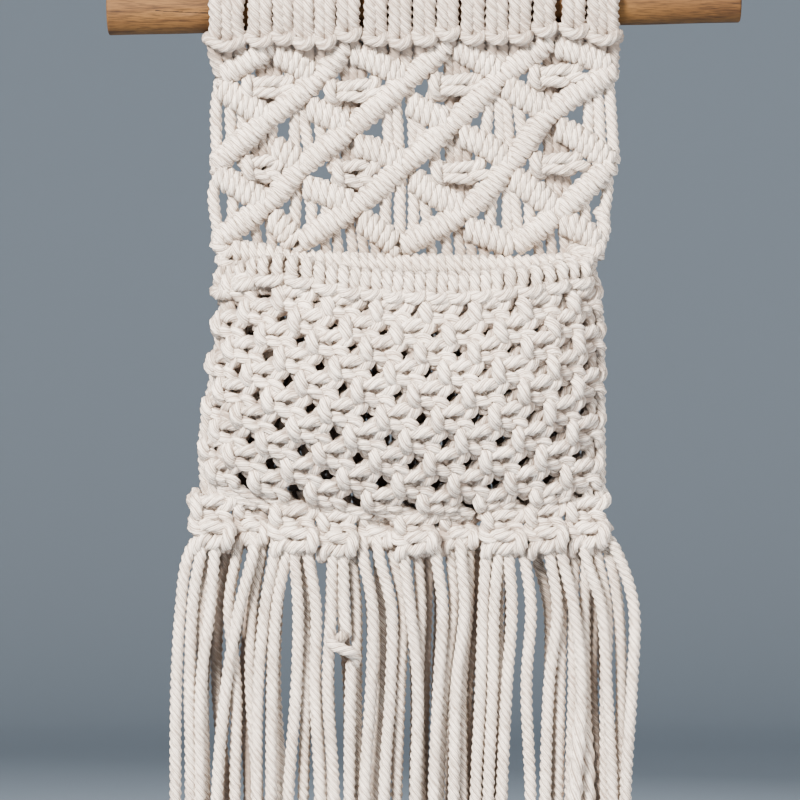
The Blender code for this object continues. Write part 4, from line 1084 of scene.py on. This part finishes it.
def fringe_strands():
    """Front strands and hidden ones, each a twisted cord whose plies open a little at the cut."""
    random = np.random.default_rng(97)
    front, behind = [], []
    for row, (layer, cords, *places) in enumerate(FRINGE):
        for copy in range(cords):
            depth = FRINGE_DEPTHS[layer] if copy == 0 else FRINGE_DEPTHS[-1]
            step = 1.2 if copy == 0 else 1.5
            route = np.array(fringe_route(places, depth))
            route[2:, :2] += random.uniform(-0.8, 0.8, (len(route) - 2, 2))
            if row == OVERHAND_ROW and copy == 0:
                knot_x = np.interp(OVERHAND_Z, FRINGE_LEVELS[::-1], places[::-1])
                knot = np.array(OVERHAND)[:, (0, 2, 1)] + (knot_x, depth, OVERHAND_Z)
                route = np.vstack([route[:2], knot, route[4:]])
            path, _ = smooth_route(route, step)
            z = path[:, 2]
            opening = np.clip((FRINGE_END + 14 - z) / 16, 0, 1)
            loose = 0 * z
            if row in UNLAID and copy == 0:
                loose = np.clip((UNLAID[row] - z) / 14, 0, 1)
            radius = CORD_RADIUS * (1 + 0.10 * opening + 0.3 * loose)
            lay = LAY * (1 + 1.2 * opening + 1.4 * loose)
            painted_shade = LAYER_PAINTED_SHADES[layer if copy == 0 else 3]
            made = lay_cord(route, radius, step=step, lay=lay, painted_shade=painted_shade, seed=random.random(),
                            valley=1 + 0.3 * np.maximum(opening, loose))
            (front if layer == 0 and copy == 0 else behind).append(made)
    return front, behind


for name, cords in zip(("fringe_front", "fringe_behind"), fringe_strands()):
    piece = join_cords(name, cords, cotton_cord)
    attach(piece, "root")
    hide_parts("fringe")


# The studio: a plain pale floor that turns up all round into a wall, large soft lights and the
# camera, level and straight on, at the photograph's distance and framing.

PHOTO_MM = 333.3  # width of the photograph at the hanging
PHOTO_MIDDLE = (-10.0, -165.6)  # x and z at its middle
CAMERA_DISTANCE = 1400.0
AIM = (-10.0, -190.0)  # x and z of the point that the lights are turned to
FLOOR_Z = -620.0
STUDIO_GREY = "#8995A1"


def studio_surface(rings=40, sides=64):
    """A turned bowl: a flat disc, a quarter round, and a straight wall, on a grid of way out and
    angle."""
    bend = np.linspace(0.1, np.pi / 2, rings)
    out = np.concatenate([np.linspace(0, 3000, 4), 3000 + 1500 * np.sin(bend), [4500]])
    rise = np.concatenate([np.zeros(4), 1500 * (1 - np.cos(bend)), [4500]])
    turn = np.arange(sides) * 2 * np.pi / sides
    reach, angle = np.meshgrid(out + 1.0, turn, indexing="ij")
    high = FLOOR_Z + np.broadcast_to(rise[:, None], reach.shape)
    points = np.stack([reach * np.cos(angle), reach * np.sin(angle), high], axis=-1).reshape(-1, 3)
    return points, [grid_quads(len(out), sides)[:, ::-1], np.arange(sides)[None, ::-1]]


paint, _, paint_shader = new_material("matt_studio_paint")
paint_shader.inputs["Base Color"].default_value = linear(STUDIO_GREY)
paint_shader.inputs["Roughness"].default_value = 1.0
paint_shader.inputs["Specular IOR Level"].default_value = 0.0
studio = mesh_piece("studio_floor", *studio_surface(), paint)


def soft_light(name, place, size, watts, colour):
    """A square area light at a place in millimetres, turned to a point near the hanging's middle."""
    lamp = bpy.data.lights.new(name, "AREA")
    lamp.size = size * 0.001
    lamp.energy = watts
    lamp.color = linear(colour)[:3]
    made = bpy.data.objects.new(name, lamp)
    made.location = (place[0] * 0.001, -place[1] * 0.001, place[2] * 0.001)
    aim = made.location.copy()
    aim.x -= AIM[0] * 0.001
    aim.z -= AIM[1] * 0.001
    made.rotation_euler = aim.to_track_quat("Z", "Y").to_euler()
    bpy.context.scene.collection.objects.link(made)


soft_light("window_light", (-860.0, 1440.0, 760.0), 480.0, 240.0, "#FFF7EF")
soft_light("fill_light", (1300.0, 1500.0, -100.0), 1200.0, 66.0, "#FFFAF6")
soft_light("back_light", (400.0, -1600.0, 900.0), 1200.0, 70.0, "#FFFFFF")

world = bpy.data.worlds.new("studio_air")
bpy.context.scene.world = world
world.use_nodes = True
world.node_tree.nodes["Background"].inputs["Color"].default_value = linear("#EDEEF0")
world.node_tree.nodes["Background"].inputs["Strength"].default_value = 0.3

lens = bpy.data.cameras.new("camera")
lens.sensor_width = 36.0
lens.lens = 36.0 * (CAMERA_DISTANCE - 10.0) / PHOTO_MM
lens.clip_start = 0.05
lens.clip_end = 30.0
camera = bpy.data.objects.new("camera", lens)
camera.location = (PHOTO_MIDDLE[0] * 0.001, -CAMERA_DISTANCE * 0.001, PHOTO_MIDDLE[1] * 0.001)
camera.rotation_euler = (math.pi / 2, 0, 0)
bpy.context.scene.collection.objects.link(camera)
bpy.context.scene.camera = camera
